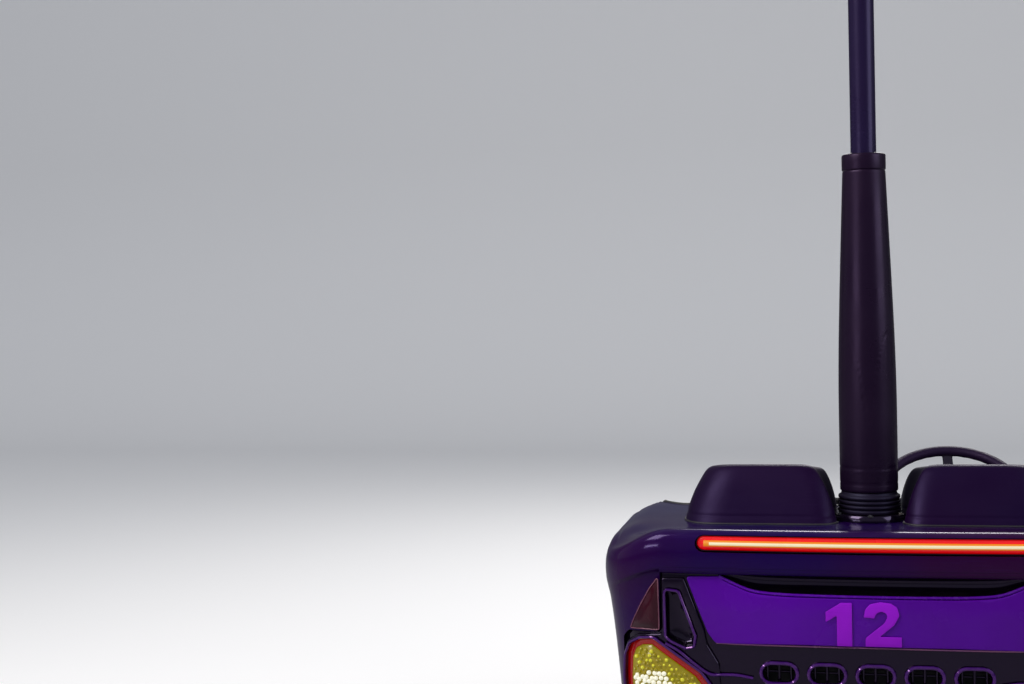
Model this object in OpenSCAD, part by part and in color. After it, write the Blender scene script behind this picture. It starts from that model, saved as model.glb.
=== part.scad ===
// Two-seat bumper car with a ceiling mast, standing on its three wheels.
// Y points forward, X to the car's right, Z up; the origin is on the floor under the bumper's middle.

/* [Bumper] */
// Width over the rubber bumper
bumper_w = 1160; // [1100:1:1250]
// Length over the rubber bumper
bumper_l = 1950; // [1900:1:2050]
// Height of the bumper's lower edge above the floor
bumper_z = 160; // [150:1:180]
// Height of the rubber bumper
bumper_h = 200; // [170:1:220]
// Depth of the rubber bumper, from its face to its channel
bumper_d = 75; // [60:1:85]
// Thickness of the channel that carries the bumper
channel_t = 4; // [3:0.5:6]
// Width of the channel's flanges
channel_flange = 30; // [20:1:40]

/* [Body shell] */
// Width of the body over its shoulders
body_w = 1024; // [990:1:1040]
// Distance from the bumper's rear face in to the body's rear face
rear_set = 75; // [70:1:95]
// Distance from the bumper's front face in to the nose
nose_set = 83; // [75:1:105]
// Corner radius of the rear body
rear_corner = 140; // [110:1:180]
// Corner radius of the nose
front_corner = 300; // [240:1:340]
// Bow radius of the rear face
rear_bow = 5500; // [4000:100:8000]
// Bow radius of the nose
front_bow = 1500; // [1200:50:2500]
// Wall thickness of the moulded shells
shell_t = 6; // [4:0.5:8]
// Height of the ridge above the light bar
ridge_z = 854; // [840:1:870]
// Fall of the ridge towards the shoulders
shoulder_fall = 64; // [40:1:80]
// Dish of the rear deck below its ridge
deck_dish = 16; // [8:1:24]
// Height of the entry sill
entry_z = 560; // [520:1:600]
// Height of the nose's upper edge
nose_z = 520; // [480:1:560]
// Height of the bonnet at the dashboard
bonnet_z = 742; // [710:1:770]

/* [Cockpit] */
// Width of the cockpit opening
cockpit_w = 880; // [840:1:900]
// Distance from the mast forward to the cockpit's rear edge
cockpit_set = 170; // [150:1:190]
// Distance from the nose back to the dashboard's edge
cowl_set = 472; // [452:1:492]
// Distance from the drive unit back to the toe board
toe_set = 190; // [180:1:220]
// Height of the seat cushions' underside
seat_z = 360; // [330:1:380]
// Thickness of the seat cushions
cushion_h = 90; // [60:1:110]
// Depth of the seat cushions
cushion_l = 430; // [400:1:450]
// Width of the gap between the two seats
seat_gap = 12; // [8:1:30]
// Recline of the seat backs from upright
back_lean = 10; // [8:1:14]

/* [Mast] */
// Height of the ceiling contact above the floor
mast_top = 2800; // [2500:10:3000]
// Distance from the body's rear face forward to the mast
mast_set = 300; // [290:1:310]
// Diameter of the mast's tube
mast_d = 50; // [40:1:60]
// Wall of the mast's tube
mast_t = 3; // [2:0.5:5]
// Diameter of the sleeve at its top
sleeve_top_d = 86; // [80:1:96]
// Diameter of the sleeve at its foot
sleeve_foot_d = 114; // [104:1:120]
// Height of the sleeve's top above the floor
sleeve_top = 1566; // [1400:1:1700]
// Diameter of the mast's pivot pin
pivot_d = 16; // [12:1:20]

/* [Steering] */
// Diameter of the steering wheel over its rim
steer_d = 360; // [330:1:380]
// Thickness of the steering wheel's rim
rim_d = 27; // [22:1:32]
// Offset of the steering wheel to the right
steer_x = 220; // [200:1:230]
// Distance from the toe board back to the steering wheel's middle
steer_set = 300; // [285:1:320]
// Height of the steering wheel's middle
steer_z = 785; // [770:1:800]
// Lean of the steering column from upright
steer_lean = 33; // [30:1:36]
// Diameter of the steering shaft
shaft_d = 25; // [20:1:28]

/* [Wheels and drive] */
// Diameter of the rear wheels
rear_wheel_d = 200; // [180:2:220]
// Width of the rear wheels
rear_wheel_w = 56; // [45:1:65]
// Distance between the middles of the rear wheels
rear_track = 770; // [740:2:790]
// Distance from the body's rear face forward to the rear axle
axle_set = 380; // [340:1:400]
// Diameter of the rear axle
axle_d = 30; // [24:1:36]
// Diameter of the drive wheel
drive_wheel_d = 230; // [210:2:236]
// Width of the drive wheel
drive_wheel_w = 70; // [60:1:80]
// Distance from the bumper's front face back to the drive unit
drive_set = 285; // [275:1:295]
// Diameter of the slewing plate
slew_d = 300; // [280:2:310]
// Diameter of the motor
motor_d = 200; // [170:2:210]
// Height of the motor
motor_h = 150; // [120:1:160]

/* [Rear lights and panel] */
// Height of the light bar's middle
bar_z = 830; // [825:1:834]
// Length of the light bar
bar_l = 660; // [600:2:680]
// Height of the light bar's groove
bar_h = 32; // [24:1:34]
// Height of the number panel's lower edge
panel_z0 = 640; // [630:1:650]
// Height of the number panel's upper edge at the middle
panel_z1 = 737; // [730:1:745]

/* [Hidden] */
run = 0.3;              // gap of faces that don't touch
fit = 0.05;             // radial clearance of a shaft in its bearing
weld = 0.02;            // overlap that joins the solids of one node
$fn = 64;

// Places along the car, measured from the bumper's middle
rear_reach = bumper_l / 2 - rear_set;
front_reach = bumper_l / 2 - nose_set;
mast_y = rear_reach - mast_set;
cockpit_rear = mast_y - cockpit_set;
cockpit_front = front_reach - cowl_set;
rear_axle_y = rear_reach - axle_set;
drive_y = bumper_l / 2 - drive_set;
toe_y = drive_y - toe_set;
steer_y = toe_y - steer_set;

bumper_r_rear = 230;
bumper_r_front = 340;
bumper_bow = 2600;
channel_d = bumper_d + run;
channel_z = bumper_z + 8;
channel_h = bumper_h - 16;
half_w = body_w / 2;
body_low = channel_z + channel_h + run;
cock_w = cockpit_w / 2;
rail_z = 150;           // underside of the chassis rails
rail_h = 50;
rail_w = 50;
rail_x = 285;           // middle of a rail
rail_top = rail_z + rail_h;
rail_y0 = -(bumper_l / 2 - 185);
rail_y1 = drive_y + 20;
floor_t = 5;
floor_z = rail_top + run;
wing_y0 = -(cockpit_rear - 100);    // where the rear wings begin to fall
wing_y1 = wing_y0 + 270;            // where they reach the entry sill
cowl_y1 = cockpit_front - 20;       // where the sill has risen to the bonnet
cowl_y0 = cowl_y1 - 210;            // where it begins to rise
cut_rear = wing_y1 + 20;            // joint of rear shell and side panels
cut_front = cowl_y0 - 10;           // joint of side panels and front shell
seam = 2;                           // open joint between two shells
deck_z = ridge_z - deck_dish;       // the deck round the mast

// Rear face: depths are measured in from its bow
bar_depth = 16;
fascia_z0 = 420;
fascia_z1 = 770;
fascia_depth = 16;
fascia_t = 10;
panel_t = 4;
surround_t = 7;
slot_pitch = 87;
slot_w = 66;
slot_h = 38;
slot_rows = [587, 537, 487];
scoop_half = 281;       // half the push scoop's width
scoop_d = 42;
scoop_t = 3;

// Wheels and drive
slew_z = 292;           // top of the slewing plate's seat
seat_t = 8;
slew_hub_r = 70;
slew_t = 12;
fork_x = drive_wheel_w / 2 + 8;
fork_t = 12;
drive_axle_d = 24;
axle_stub = rear_track / 2 + rear_wheel_w / 2 + 16;

// Cockpit
tub_w = cock_w - 8;
tub_rear = cockpit_rear - 8;
tub_t = 5;
toe_top = 588;          // top of the toe board
plinth_y0 = -tub_rear + tub_t + 2;
plinth_y1 = plinth_y0 + cushion_l + 110;
plinth_w = tub_w - tub_t - 2;
cushion_w = plinth_w - seat_gap / 2 - 14;
back_w = cushion_w - 30;
back_h = 380;
back_t = 56;
soft_r = 26;            // edge radius of cushions and seat backs
back_foot = 23.4;       // along the lean, from the pivot to the back's lower edge
dash_w = tub_w - tub_t - run;
dash_z = toe_top - 14;
dash_top = bonnet_z - 45;

// Headrest humps
hump_x0 = 62;
hump_x1 = 366;
hump_top = deck_z + 95;
hump_y0 = -mast_y - 100;
hump_y1 = -cockpit_rear - 15;

// Steering
column_d = 54;
column_top = 90;        // from the wheel's middle down to the column's top
column_l = 390;

// Mast
post_d = 60;
pivot_z = deck_z + 34;
flange_h = 13;
flange_d = 148;
boot_r = 60;
boot_top = deck_z + 48;
sleeve_foot = boot_top + 8;
collar_h = 32;
lug_t = 8;
tongue_w = 24;
shoe_z = mast_top - 30; // axis of the contact shoe
shoe_pin_d = 10;

// Blends

function mix(a, b, t) = a + (b - a) * t;
function clamp(t) = min(max(t, 0), 1);
function ease(a, b, y) = let(t = clamp((y - a) / (b - a))) t * t * (3 - 2 * t);

// Plan outlines. A station is x, y and the outward normal.

function arc(c, r, a0, a1, n) =
    [for (i = [0:n]) let(a = mix(a0, a1, i / n)) [c[0] + r * cos(a), c[1] + r * sin(a), cos(a), sin(a)]];
function last(s) = s[len(s) - 1];
function rest(s) = [for (i = [1:len(s) - 1]) s[i]];
function back(s) = [for (i = [len(s) - 1:-1:0]) s[i]];
function flip_x(s) = [for (p = s) [-p[0], p[1], -p[2], p[3]]];
function flip_y(s) = [for (p = s) [p[0], -p[1], p[2], -p[3]]];
// Half of one end, from its middle round its corner to the straight side
function half_end(w, reach, r, bow, n_bow, n_corner) =
    let(turn = asin((w - r) / (bow - r)),
        corner = [w - r, reach - bow + (bow - r) * cos(turn)])
    concat(arc([0, reach - bow], bow, 90, 90 - turn, n_bow),
        rest(arc(corner, r, 90 - turn, 0, n_corner)));
function side(w, y0, y1, n) = [for (i = [1:n]) [w, mix(y0, y1, i / n), 1, 0]];
// A closed outline: rear end, right side, front end, left side
function outline(w, rear, front, r_rear, r_front, bow_rear, bow_front, n_bow = 3, n_corner = 8, n_side = 6) =
    let(r = flip_y(half_end(w, rear, r_rear, bow_rear, n_bow, n_corner)),
        f = half_end(w, front, r_front, bow_front, n_bow, n_corner),
        right = concat(r, side(w, last(r)[1], last(f)[1], n_side - 1), back(f)),
        left = back(flip_x(right)))
    concat(right, [for (i = [1:len(left) - 2]) left[i]]);
function inset(s, d) = [for (p = s) [p[0] - d * p[2], p[1] - d * p[3]]];

// A skin through rings of points, closed round on itself or capped at its two ends
module skin(rings, round = false) {
    n = len(rings);
    m = len(rings[0]);
    walls = [for (i = [0:n - (round ? 1 : 2)], j = [0:m - 1])
        let(k = (i + 1) % n, l = (j + 1) % m)
            each [[i * m + j, i * m + l, k * m + l], [i * m + j, k * m + l, k * m + j]]];
    caps = round ? [] : [[for (j = [m - 1:-1:0]) j], [for (j = [0:m - 1]) (n - 1) * m + j]];
    polyhedron([for (r = rings) each r], concat(walls, caps));
}

// Heights of the body's upper surface

function ridge_at(x) = ridge_z - shoulder_fall * pow(max(0, abs(x) - hump_x1) / (half_w - hump_x1), 2);
function bonnet_at(x, y) =
    mix(bonnet_z, nose_z, pow(clamp((y - cowl_y1) / (front_reach - cowl_y1)), 1.35))
    - 45 * pow(abs(x) / half_w, 3);
function top_at(x, y) =
    y < cut_front
        ? mix(ridge_at(x), entry_z, ease(wing_y0, wing_y1, y))
        : mix(entry_z, bonnet_at(x, y), ease(cowl_y0, cowl_y1, y));
// The rear deck, dished inside its ridge
function deck_at(x, y) =
    top_at(x, y) - (y < 0 ? deck_dish * ease(rear_reach - 20, rear_reach - 150, -y) : 0);

// The wall below a shoulder at height zs: columns are height and distance inside the outline
function wall_table(zs) = let(tall = zs - body_low) [[body_low, 34], [body_low + 0.38 * tall, 26],
    [zs - min(110, 0.5 * tall), 9], [zs - min(62, 0.32 * tall), 0]];
// One section of the body: up the wall, over the shoulder and across the deck to the inner edge
function section(s, e) =
    let(zs = top_at(s[0], s[1]),
        wall = concat([for (p = wall_table(zs)) [p[1], p[0]]], [[1, zs - 26], [8, zs - 8], [22, zs]]),
        skin_wall = [for (p = wall) [s[0] - p[0] * s[2], s[1] - p[0] * s[3], p[1]]],
        from = [s[0] - 22 * s[2], s[1] - 22 * s[3]],
        deck = [for (t = [0.12, 0.3, 0.65, 1])
            let(x = mix(from[0], e[0], t), y = mix(from[1], e[1], t)) [x, y, deck_at(x, y)]],
        under_deck = [for (i = [3:-1:0]) deck[i] - [0, 0, shell_t]],
        inner = [for (i = [6:-1:0])
            let(p = wall[i], d = p[0] + (i == 6 ? 1 : i == 5 ? 4 : shell_t))
                [s[0] - d * s[2], s[1] - d * s[3], p[1] - (i == 6 ? shell_t : i == 5 ? 5 : i == 4 ? 2 : 0)]])
    concat(skin_wall, deck, under_deck, inner);

function sections(s, e) = [for (i = [0:len(s) - 1]) section(s[i], e[i])];

module rear_shell() color("#1b0838") {
    s = flip_y(half_end(half_w, rear_reach, rear_corner, rear_bow, 5, 8));
    e = flip_y(half_end(cock_w, cockpit_rear, 90, rear_bow, 5, 8));
    right = concat(s, side(half_w, last(s)[1], cut_rear - seam / 2, 9));
    edge = concat(e, side(cock_w, last(e)[1], cut_rear - seam / 2, 9));
    difference() {
        skin(sections(concat(back(flip_x(right)), rest(right)), concat(back(flip_x(edge)), rest(edge))));
        // Opening for the fascia, below the light bar's band
        on_rear(-60, 140) fascia_outline(0);
        // Groove of the light bar
        on_rear(-60, 60 + bar_depth + run) stadium(bar_l, bar_h, bar_z);
        // Foot of the mast
        translate([0, -mast_y, deck_z - 60]) cylinder(d = post_d + 12, h = 120);
    }
}

// The sill between the shells keeps one section
module side_panel(sign) color("#1b0838") {
    y = (cut_rear + cut_front) / 2;
    translate([0, cut_front - seam / 2, 0]) rotate([90, 0, 0]) linear_extrude(cut_front - cut_rear - seam)
        polygon([for (p = section([half_w, y, 1, 0], [cock_w, y, 1, 0])) [sign * p[0], p[2]]]);
}
module side_panel_left() side_panel(-1);
module side_panel_right() side_panel(1);

module front_shell() color("#1b0838") {
    s = half_end(half_w, front_reach, front_corner, front_bow, 4, 10);
    e = half_end(cock_w, cockpit_front, 60, 9000, 4, 10);
    right = concat(back(concat(s, side(half_w, last(s)[1], cut_front + seam / 2, 8))));
    edge = concat(back(concat(e, side(cock_w, last(e)[1], cut_front + seam / 2, 8))));
    difference() {
        skin(sections(concat(right, rest(back(flip_x(right)))), concat(edge, rest(back(flip_x(edge))))));
        on_front(-40, 120) nose_outline(run);
        for (sign = [-1, 1])
            headlamp_place(sign) cylinder(d = head_d + 2 * run, h = 160, center = true);
    }
}

// Slabs that follow the bow of the rear face and of the nose, seen along Y

module on_rear(depth, t) intersection() {
    rotate([90, 0, 0]) linear_extrude(rear_reach + 200) children();
    translate([0, rear_bow - rear_reach, 0]) difference() {
        cylinder(r = rear_bow - depth, h = 1200, $fn = 720);
        translate([0, 0, -1]) cylinder(r = rear_bow - depth - t, h = 1202, $fn = 720);
    }
}
module on_front(depth, t) intersection() {
    translate([0, front_reach + 200, 0]) rotate([90, 0, 0]) linear_extrude(front_reach) children();
    translate([0, front_reach - front_bow, 0]) difference() {
        cylinder(r = front_bow - depth, h = 1200, $fn = 360);
        translate([0, 0, -1]) cylinder(r = front_bow - depth - t, h = 1202, $fn = 360);
    }
}
module stadium(l, h, z) {
    translate([-l / 2 + h / 2, z - h / 2]) square([l - h, h]);
    for (x = [-1, 1])
        translate([x * (l - h) / 2, z]) circle(d = h);
}
// A half outline, from the middle round its right side, with its mirror image
function both(p) = concat(p, [for (i = [len(p) - 1:-1:0]) [-p[i][0], p[i][1]]]);

// Rear face

module fascia_outline(grow) polygon(both([
    [380 + grow, fascia_z0 - grow], [474 + grow, 480], [470 + grow, 640], [458 + grow, 655 + grow],
    [394 + grow, 660 + grow], [392 + grow, fascia_z1 + grow]]));
// Half the push scoop's lower edge: distance from the middle, height
scoop_edge = [[0, panel_z1 - 2], [100, panel_z1 - 1.4], [180, panel_z1 + 0.5], [220, panel_z1 + 5],
    [250, panel_z1 + 16], [scoop_half, fascia_z1 - 3]];
// The panel's upper edge follows the scoop's
module panel_outline() polygon(both(concat([
    [290, panel_z0], [304, 660], [341, fascia_z1 - run], [scoop_half + 1, fascia_z1 - run]],
    [for (p = back(scoop_edge)) if (p[0] > 0) p])));
lamp_points = [[461, 510], [463, 560], [459, 603], [449, 628], [429, 641], [403, 644], [389, 634], [315, 582],
    [298, 558], [294, 520], [306, 500], [445, 494]];
column_points = [[346, 768], [311, 662], [308, 634], [330, 600], [420, 630], [391, 662], [391, 768]];
column_pocket = [[383, 742], [357, 738], [328, 654], [330, 634], [346, 630], [372, 642], [383, 650]];

module rear_fascia() color("#08060c") {
    difference() {
        on_rear(fascia_depth, fascia_t) fascia_outline(-run);
        // Ends below the push scoop
        on_rear(0, 60) translate([-half_w, scoop_edge[0][1] - scoop_t - 0.5]) square([2 * half_w, 60]);
        for (flip = [0, 1])
            mirror([flip, 0, 0]) on_rear(0, 60) offset(delta = 1) polygon(lamp_points);
        on_rear(0, 60) grille_slots();
    }
}

// The violet moulding: number panel below, push scoop above
module number_panel() color("#3a0078") {
    on_rear(fascia_depth - panel_t - run, panel_t) panel_outline();
    // The push scoop: floor, back and roof, shallower toward both ends
    skin([for (i = [-12:12]) let(x = i * (scoop_half + scoop_t - weld) / 12, share = abs(i) / 12,
        z0 = lookup(abs(x), scoop_edge), z1 = max(z0 + 2, fascia_z1 - 2), t = scoop_t,
        front = -rear_reach + fascia_depth - run - 1 + x * x / (2 * rear_bow),
        rear = front + max(4, scoop_d * sqrt(1 - pow(share, 5))), c = min(9, (z1 - z0) * 0.35))
        [for (q = [[front, z0], [rear - c, z0], [rear, z0 + c], [rear, z1 - c], [rear - c, z1], [front, z1],
            [front, z1 + t], [rear - c + t / 2, z1 + t], [rear + t, z1 - c + t / 2],
            [rear + t, z0 + c - t / 2], [rear - c + t / 2, z0 - t], [front, z0 - t]]) [x, q[0], q[1]]]]);
}

module grille_slots() for (i = [-2:2], z = slot_rows)
    translate([i * slot_pitch, 0]) stadium(slot_w, slot_h, z);

module rear_grille() color("#0b0810") on_rear(fascia_depth + fascia_t + run, 6) {
    for (i = [-2:2], x = [-22, 0, 22])
        translate([i * slot_pitch + x - 3, last(slot_rows) - slot_h / 2 - 6])
            square([6, slot_rows[0] - last(slot_rows) + slot_h + 12]);
    for (z = slot_rows, dz = [-slot_h / 2 - 6, slot_h / 2])
        translate([-2.5 * slot_pitch, z + dz]) square([5 * slot_pitch, 6]);
}

module light_bar() color("#e8342c")
    on_rear(2, bar_depth - 2) stadium(bar_l - 4, bar_h - 4, bar_z);

module lamp_surround(sign) color("#0a080d") mirror([sign > 0 ? 0 : 1, 0, 0])
    difference() {
        on_rear(fascia_depth - surround_t - run, surround_t) difference() {
            union() {
                offset(delta = 9) polygon(lamp_points);
                polygon(column_points);
            }
            polygon(lamp_points);
        }
        on_rear(0, fascia_depth - run - 2) polygon(column_pocket);
    }
module lamp_surround_left() lamp_surround(-1);
module lamp_surround_right() lamp_surround(1);

module tail_lamp(sign) color("#f0c23c") mirror([sign > 0 ? 0 : 1, 0, 0])
    on_rear(fascia_depth - 4, 26) offset(delta = -run) polygon(lamp_points);
module tail_lamp_left() tail_lamp(-1);
module tail_lamp_right() tail_lamp(1);

fin_z0 = 664;
fin_t = 7;
corner_y = -half_end(half_w, rear_reach, rear_corner, rear_bow, 1, 1)[2][1];
// Stations across a fin: angle on the rear corner, then its upper edge's height
fin_rows = [[-81, 747], [-77.6, 722], [-74.3, 702], [-70.8, 688], [-67, 678], [-62, 670]];
module fin(sign) color("#5a141c") mirror([sign > 0 ? 0 : 1, 0, 0])
    skin([for (f = fin_rows) let(s = arc([half_w - rear_corner, corner_y], rear_corner, f[0], f[0], 1)[0],
        z = [fin_z0, f[1]], d = [for (v = z) lookup(v, wall_table(top_at(s[0], s[1]))) - run])
        [for (q = [[d[0], z[0]], [d[0] - fin_t, z[0] + 1], [d[1] - fin_t, z[1] - 1], [d[1], z[1]]])
            [s[0] - q[0] * s[2], s[1] - q[0] * s[3], q[1]]]]);
module fin_left() fin(-1);
module fin_right() fin(1);

// Nose

head_d = 120;
head_x = 300;
head_z = 450;
module nose_outline(grow) polygon(both([
    [190 + grow, 372 - grow], [214 + grow, 400], [200 + grow, 460 + grow], [60, 468 + grow]]));
module nose_grille() color("#0b0810") {
    on_front(24, 6) difference() {
        nose_outline(0);
        for (z = [386, 408, 430])
            translate([-180, z]) square([360, 12]);
        translate([-168 - run, 451 - run]) square([336 + 2 * run, 6 + 2 * run]);
    }
    color("#f4f0dc") on_front(22, 7.5) translate([-168, 451]) square([336, 6]);
}
module headlamp_place(sign) translate([sign * head_x, front_reach - 62, head_z])
    rotate([-90, 0, -sign * 24]) children();
module headlamp(sign) color("#dfe6ee") headlamp_place(sign)
    rotate_extrude() polygon([[0, -40], [30, -40], [head_d / 2 - 2, 0], [head_d / 2, 8], [head_d / 2 - 4, 16],
        [head_d / 3, 24], [0, 28]]);
module headlamp_left() headlamp(-1);
module headlamp_right() headlamp(1);

// Bumper and chassis

function bumper_path() = outline(bumper_w / 2, bumper_l / 2, bumper_l / 2, bumper_r_rear, bumper_r_front,
    bumper_bow, bumper_bow, 4, 10, 4);
// Section of the rubber tube: depth from its face, height as a share of its own height
tube_section = [[1, 0.04], [0.3, 0], [0.08, 0.12], [0, 0.32], [0, 0.68], [0.08, 0.88], [0.3, 1], [1, 0.96]];

module bumper_tube() color("#101012") {
    s = bumper_path();
    skin([for (p = s) [for (q = tube_section)
        [p[0] - q[0] * bumper_d * p[2], p[1] - q[0] * bumper_d * p[3], bumper_z + q[1] * bumper_h]]], true);
}

module plan(d) polygon(inset(bumper_path(), d));
module bumper_channel() color("#55565c") difference() {
    translate([0, 0, channel_z]) linear_extrude(channel_h) plan(channel_d);
    translate([0, 0, channel_z + channel_t]) linear_extrude(channel_h - 2 * channel_t)
        plan(channel_d + channel_t);
    linear_extrude(1000) plan(channel_d + channel_flange);
}

module box(x0, x1, y0, y1, z0, z1) translate([x0, y0, z0]) cube([x1 - x0, y1 - y0, z1 - z0]);
module chassis_frame() color("#3c3d42") {
    side_in = bumper_w / 2 - channel_d - channel_t - run;       // inner face of the bumper's channel
    rear_in = bumper_l / 2 - channel_d - channel_t - 9;
    slew_y = drive_y - toe_y - 30;
    difference() {
        union() {
            for (x = [-rail_x, rail_x])
                box(x - rail_w / 2, x + rail_w / 2, rail_y0, rail_y1, rail_z, rail_top);
            for (y = [rail_y0, -cockpit_rear + 30, cowl_y0 - 130])
                box(-rail_x, rail_x, y, y + rail_w, rail_z, rail_top);
            // Outriggers to the bumper channel
            for (y = [-rear_axle_y + 220, cowl_y0 - 125, toe_y - 120], sign = [-1, 1])
                box(sign > 0 ? rail_x : -side_in, sign > 0 ? side_in : -rail_x,
                    y, y + 40, rail_z + 22, rail_top);
            for (x = [-180, 180])
                box(x - 20, x + 20, -rear_in, rail_y0 + 10, rail_z + 22, rail_top);
            // Posts and seat of the slewing plate
            for (x = [-rail_x, rail_x])
                box(x - rail_w / 2, x + rail_w / 2, drive_y - slew_y, drive_y + slew_y,
                    rail_top - weld, slew_z - seat_t + weld);
            box(-rail_x - rail_w / 2, rail_x + rail_w / 2, drive_y - slew_y, drive_y + slew_y,
                slew_z - seat_t, slew_z);
            // Hangers of the rear axle
            for (x = [-rail_x, rail_x])
                box(x - 8, x + 8, -rear_axle_y - 30, -rear_axle_y + 30,
                    rear_wheel_d / 2 - 30, rail_z + weld);
            // Socket of the mast post
            box(-rail_x, rail_x, -mast_y - 30, -mast_y + 30, rail_z, rail_top);
        }
        translate([0, drive_y, slew_z - 20]) cylinder(r = slew_hub_r + 0.5, h = 40);
        translate([-bumper_w / 2, -rear_axle_y, rear_wheel_d / 2]) rotate([0, 90, 0])
            cylinder(d = axle_d, h = bumper_w);
        translate([0, -mast_y, rail_z + 10]) cylinder(d = post_d, h = rail_h);
    }
}

module rear_axle() color("#6a6b70") translate([0, -rear_axle_y, rear_wheel_d / 2]) rotate([0, 90, 0]) {
    translate([0, 0, -axle_stub]) cylinder(d = axle_d, h = 2 * axle_stub);
    // Collars beside the wheels
    for (sign = [-1, 1], side = [-1, 1])
        translate([0, 0, sign * rear_track / 2 + side * (rear_wheel_w / 2 + 6) - 4])
            cylinder(d = axle_d + 16, h = 8);
}

module rear_wheel(sign) color("#1c1c1e") {
    r = rear_wheel_d / 2;
    w = rear_wheel_w / 2;
    translate([sign * rear_track / 2, -rear_axle_y, r]) rotate([0, 90, 0]) rotate_extrude($fn = 72) polygon([
        [axle_d / 2 + fit, -w], [34, -w], [38, -w + 12], [r * 0.66, -w + 12], [r * 0.72, -w], [r - 6, -w],
        [r, -w + 6], [r, w - 6], [r - 6, w], [r * 0.72, w], [r * 0.66, w - 12], [38, w - 12], [34, w],
        [axle_d / 2 + fit, w]]);
}
module rear_wheel_left() rear_wheel(-1);
module rear_wheel_right() rear_wheel(1);

// Drive unit: slewing plate and hub on the seat, fork below, motor above

module drive_unit() color("#707178") translate([0, drive_y, 0]) difference() {
    union() {
        translate([0, 0, slew_z + run]) cylinder(d = slew_d, h = slew_t);
        translate([0, 0, slew_z - seat_t - 14]) cylinder(r = slew_hub_r, h = seat_t + 14 + run + weld);
        for (sign = [-1, 1])
            translate([sign * (fork_x + fork_t / 2) - fork_t / 2, -30, drive_wheel_d / 2 - 26])
                cube([fork_t, 60, slew_z - seat_t - 14 - drive_wheel_d / 2 + 26 + weld]);
        translate([0, 0, drive_wheel_d / 2]) rotate([0, 90, 0])
            translate([0, 0, -fork_x - fork_t - 6]) cylinder(d = drive_axle_d, h = 2 * (fork_x + fork_t + 6));
    }
    // Keeps the fork clear of the tyre's crown
    translate([-fork_x, -100, 0]) cube([2 * fork_x, 200, drive_wheel_d / 2 - drive_axle_d / 2 - 1]);
}
module drive_motor() color("#4a4c52") translate([0, drive_y, slew_z + run + slew_t + run]) {
    cylinder(d = motor_d, h = motor_h);
}
module drive_wheel() color("#1c1c1e") translate([0, drive_y, drive_wheel_d / 2]) rotate([0, 90, 0]) {
    r = drive_wheel_d / 2;
    w = drive_wheel_w / 2;
    rotate_extrude($fn = 72) polygon([
        [drive_axle_d / 2 + fit, -w - 4], [26, -w - 4], [30, -w + 8], [r * 0.62, -w + 10], [r * 0.68, -w],
        [r - 8, -w], [r, -w + 10], [r, w - 10], [r - 8, w], [r * 0.68, w], [r * 0.62, w - 10],
        [30, w - 8], [26, w + 4], [drive_axle_d / 2 + fit, w + 4]]);
}

// Cockpit

function tub_path() = outline(tub_w, tub_rear, toe_y, 80, 24, rear_bow, 9000, 3, 5, 12);
// The tub ends just under the shells' edge, and at the toe board's top in front
function tub_top(x, y) = (y < cockpit_front - 40 ? deck_at(sign(x) * cock_w, y) - shell_t - 6 : toe_top);
module cockpit_tub() color("#141218") {
    s = tub_path();
    skin([for (p = s) let(z1 = tub_top(p[0], p[1]), b = inset([p], tub_t)[0])
        [[p[0], p[1], floor_z], [p[0], p[1], z1], [b[0], b[1], z1], [b[0], b[1], floor_z]]], true);
    translate([0, 0, floor_z]) linear_extrude(floor_t) polygon(inset(s, tub_t - weld));
}

module seat_plinth() color("#141218") translate([0, 0, floor_z + floor_t + run]) {
    tall = seat_z - floor_z - floor_t - 2 * run;
    s = outline(plinth_w, -plinth_y0, plinth_y1, 70, 40, rear_bow, 9000, 3, 4, 2);
    difference() {
        linear_extrude(tall) polygon(inset(s, 0));
        translate([0, 0, -1]) linear_extrude(tall - 5) polygon(inset(s, 6));
    }
}

module rounded_box(l, w, h)
    hull() for (x = [soft_r, l - soft_r], y = [soft_r, w - soft_r], z = [soft_r, h - soft_r])
        translate([x, y, z]) sphere(soft_r, $fn = 16);
module seat_cushion(sign) color("#241a2e")
    translate([sign > 0 ? seat_gap / 2 : -seat_gap / 2 - cushion_w, plinth_y1 - cushion_l - 8, seat_z])
        rounded_box(cushion_w, cushion_l, cushion_h);
module seat_cushion_left() seat_cushion(-1);
module seat_cushion_right() seat_cushion(1);

// A seat back leans until its upper edge is just before the tub's rear wall
module seat_back(sign) color("#241a2e") {
    top = back_h + back_foot;
    y = -tub_rear + tub_t + 24 + back_t * cos(back_lean) + top * sin(back_lean);
    translate([sign > 0 ? seat_gap / 2 : -seat_gap / 2 - back_w, y, seat_z + cushion_h - 20])
        rotate([back_lean, 0, 0]) translate([0, -back_t, back_foot]) rounded_box(back_w, back_t, back_h);
}
module seat_back_left() seat_back(-1);
module seat_back_right() seat_back(1);

// Headrest humps, hollowed beside the mast

// Sections: height share, inset of the outer, inner, rear and front edges, corner radius
hump_sections = [
    [0, 0, 0, 0, 0, 46], [0.3, 8, 6, 4, 2, 48], [0.62, 26, 24, 14, 6, 52],
    [0.86, 46, 46, 34, 16, 56], [1, 74, 74, 66, 42, 48]];
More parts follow.
